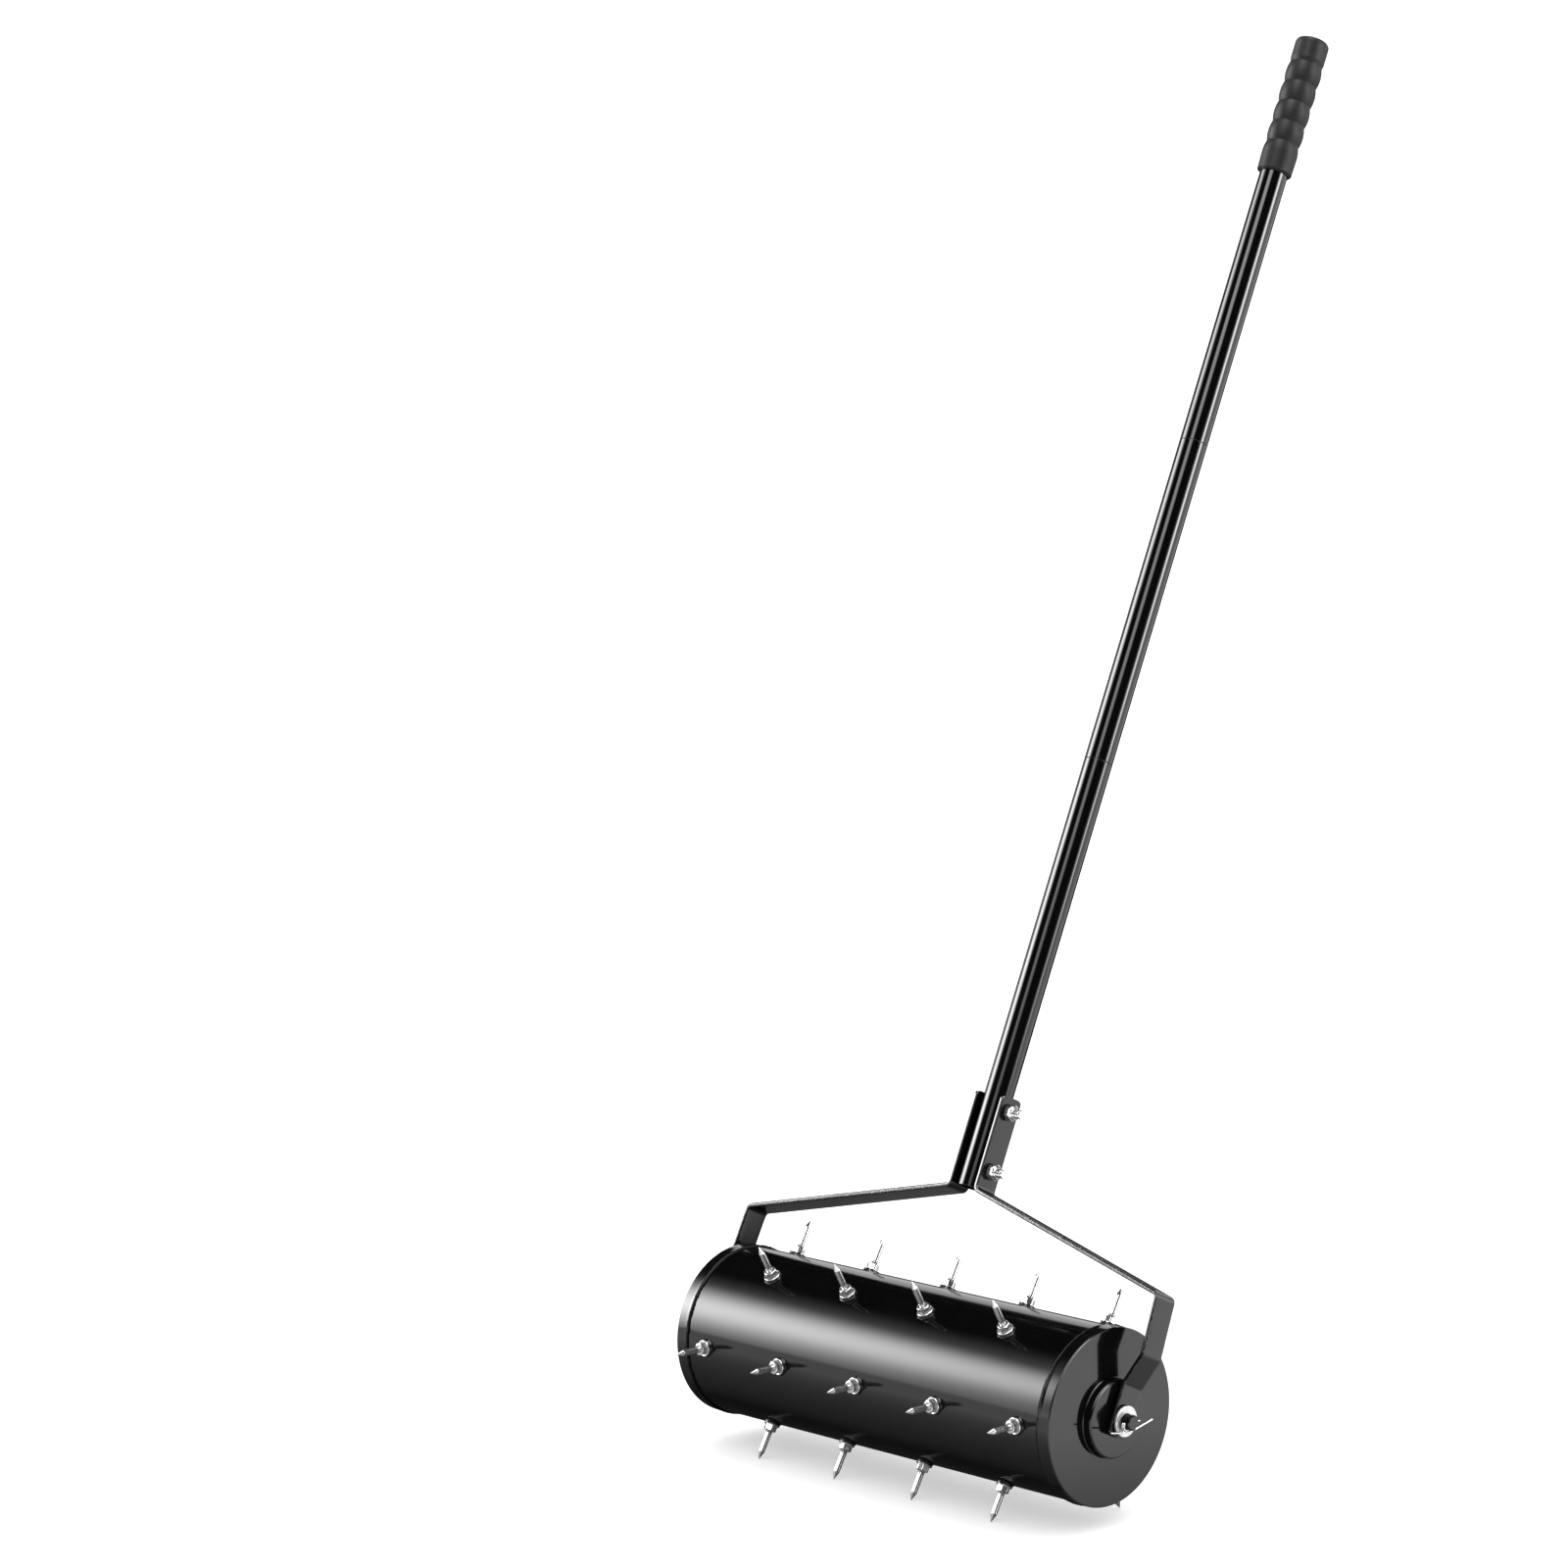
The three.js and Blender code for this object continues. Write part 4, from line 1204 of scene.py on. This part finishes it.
class Sky(Nodes):
    """The studio round the scene: a white tent, and softboxes between dark walls in reflections."""

    def __init__(self):
        world = bpy.data.worlds.new("studio")
        bpy.context.scene.world = world
        world.use_nodes = True
        super().__init__(world.node_tree)
        self.tree.nodes.clear()
        self.direction = self.add("ShaderNodeTexCoord").outputs["Generated"]

    def dot(self, vector):
        values = {0: self.direction, 1: vector}
        return self.add("ShaderNodeVectorMath", values, operation="DOT_PRODUCT").outputs["Value"]

    def fade(self, value, none, full):
        """0 at none, 1 at full, and smooth between them."""
        low, high = (0.0, 1.0) if none < full else (1.0, 0.0)
        values = {
            "Value": value,
            "From Min": min(none, full), "From Max": max(none, full),
            "To Min": low, "To Max": high,
        }
        return self.add("ShaderNodeMapRange", values, interpolation_type="SMOOTHSTEP").outputs["Result"]

    def softbox(self, azimuth, elevation, width, height, side_soft, top_soft, power):
        """A flat glowing panel with soft edges, its place and its size given in degrees."""
        turn, lift = math.radians(azimuth), math.radians(elevation)
        ahead = self.dot(towards(turn, lift))
        right = self.dot(Vector((math.cos(turn), math.sin(turn), 0)))
        up = self.dot(towards(turn, lift + math.pi / 2))
        seen = self.fade(ahead, 0.0, 0.1)
        for offset, size, soft in ((right, width, side_soft), (up, height, top_soft)):
            across = self.math("DIVIDE", offset, self.math("MAXIMUM", ahead, 0.05))
            half = math.tan(math.radians(size / 2))
            off = self.math("ABSOLUTE", across, 0.0)
            near = self.fade(off, half * (1 + soft), half * max(0.0, 1 - soft))
            seen = self.product(seen, near)
        return self.product(seen, power)

    def finish(self, glow):
        """The softboxes show in reflections, and the tent lights everything else."""
        seen = self.product(glow, self.first_bounce(2.0))

        def background(strength):
            values = {"Color": (1, 1, 1, 1), "Strength": strength}
            return self.add("ShaderNodeBackground", values).outputs["Background"]
        output = self.add("ShaderNodeOutputWorld")
        self.in_reflections(background(TENT_LIGHT), background(seen), output)


# What reflections show: azimuth, elevation, width and height in degrees, the softness of the upright
# edges and of the level ones, and the brightness
SOFTBOXES = (
    (-60, 19.8, 28, 24, 0.85, 1.0, 15.3),
    (-60, 22, 28, 36, 0.85, 1.0, 1.8),
    (-60, 0, 100, 20, 0.5, 1.0, 1.7),
    (24, 72, 26, 74, 0.5, 0.6, 9.0),
    (114, 22, 16, 40, 0.2, 0.2, 15.0),
    (128, 0, 62, 40, 0.2, 0.2, 2.0),
    (-165, 14, 110, 24, 0.15, 0.25, 1.1),
)
CEILING_GLOW = 0.005


def studio():
    sky = Sky()
    glow = CEILING_GLOW
    for box in SOFTBOXES:
        glow = sky.total(sky.softbox(*box), glow)
    sky.finish(glow)


def camera():
    data = bpy.data.cameras.new("camera")
    data.lens = LENS_MM
    data.sensor_width = SENSOR_MM
    data.clip_end = 100
    back = towards(CAMERA_AZIMUTH, CAMERA_ELEVATION)
    level = (-back).cross(Vector((0, 0, 1))).normalized()
    turn = Quaternion(-back, CAMERA_ROLL)
    right = turn @ level
    up = right.cross(-back)
    made = bpy.data.objects.new("camera", data)
    place = drum_centre + CAMERA_DISTANCE * back - DRUM_RIGHT_OF_VIEW * right + DRUM_BELOW_VIEW * up
    made.matrix_world = Matrix.Translation(place) @ Matrix((right, up, back)).transposed().to_4x4()
    bpy.context.scene.collection.objects.link(made)
    bpy.context.scene.camera = made


def build():
    rolled_shell()
    weld_bosses()
    axle_rod()
    for end, side in (("right", 1), ("left", -1)):
        end_cap(end, side)
        seam_bead(end, side)
        plain_washer(end, side)
        split_pin(end, side)
        folded_bar(end, side)
    for node, place in spike_sites():
        spike_stud(node, place)
        flange_nut(node, place)
    handle_tubes()
    soft_grip()
    fasteners()


build()
floor()
studio()
camera()
bpy.context.scene.view_settings.view_transform = "Standard"
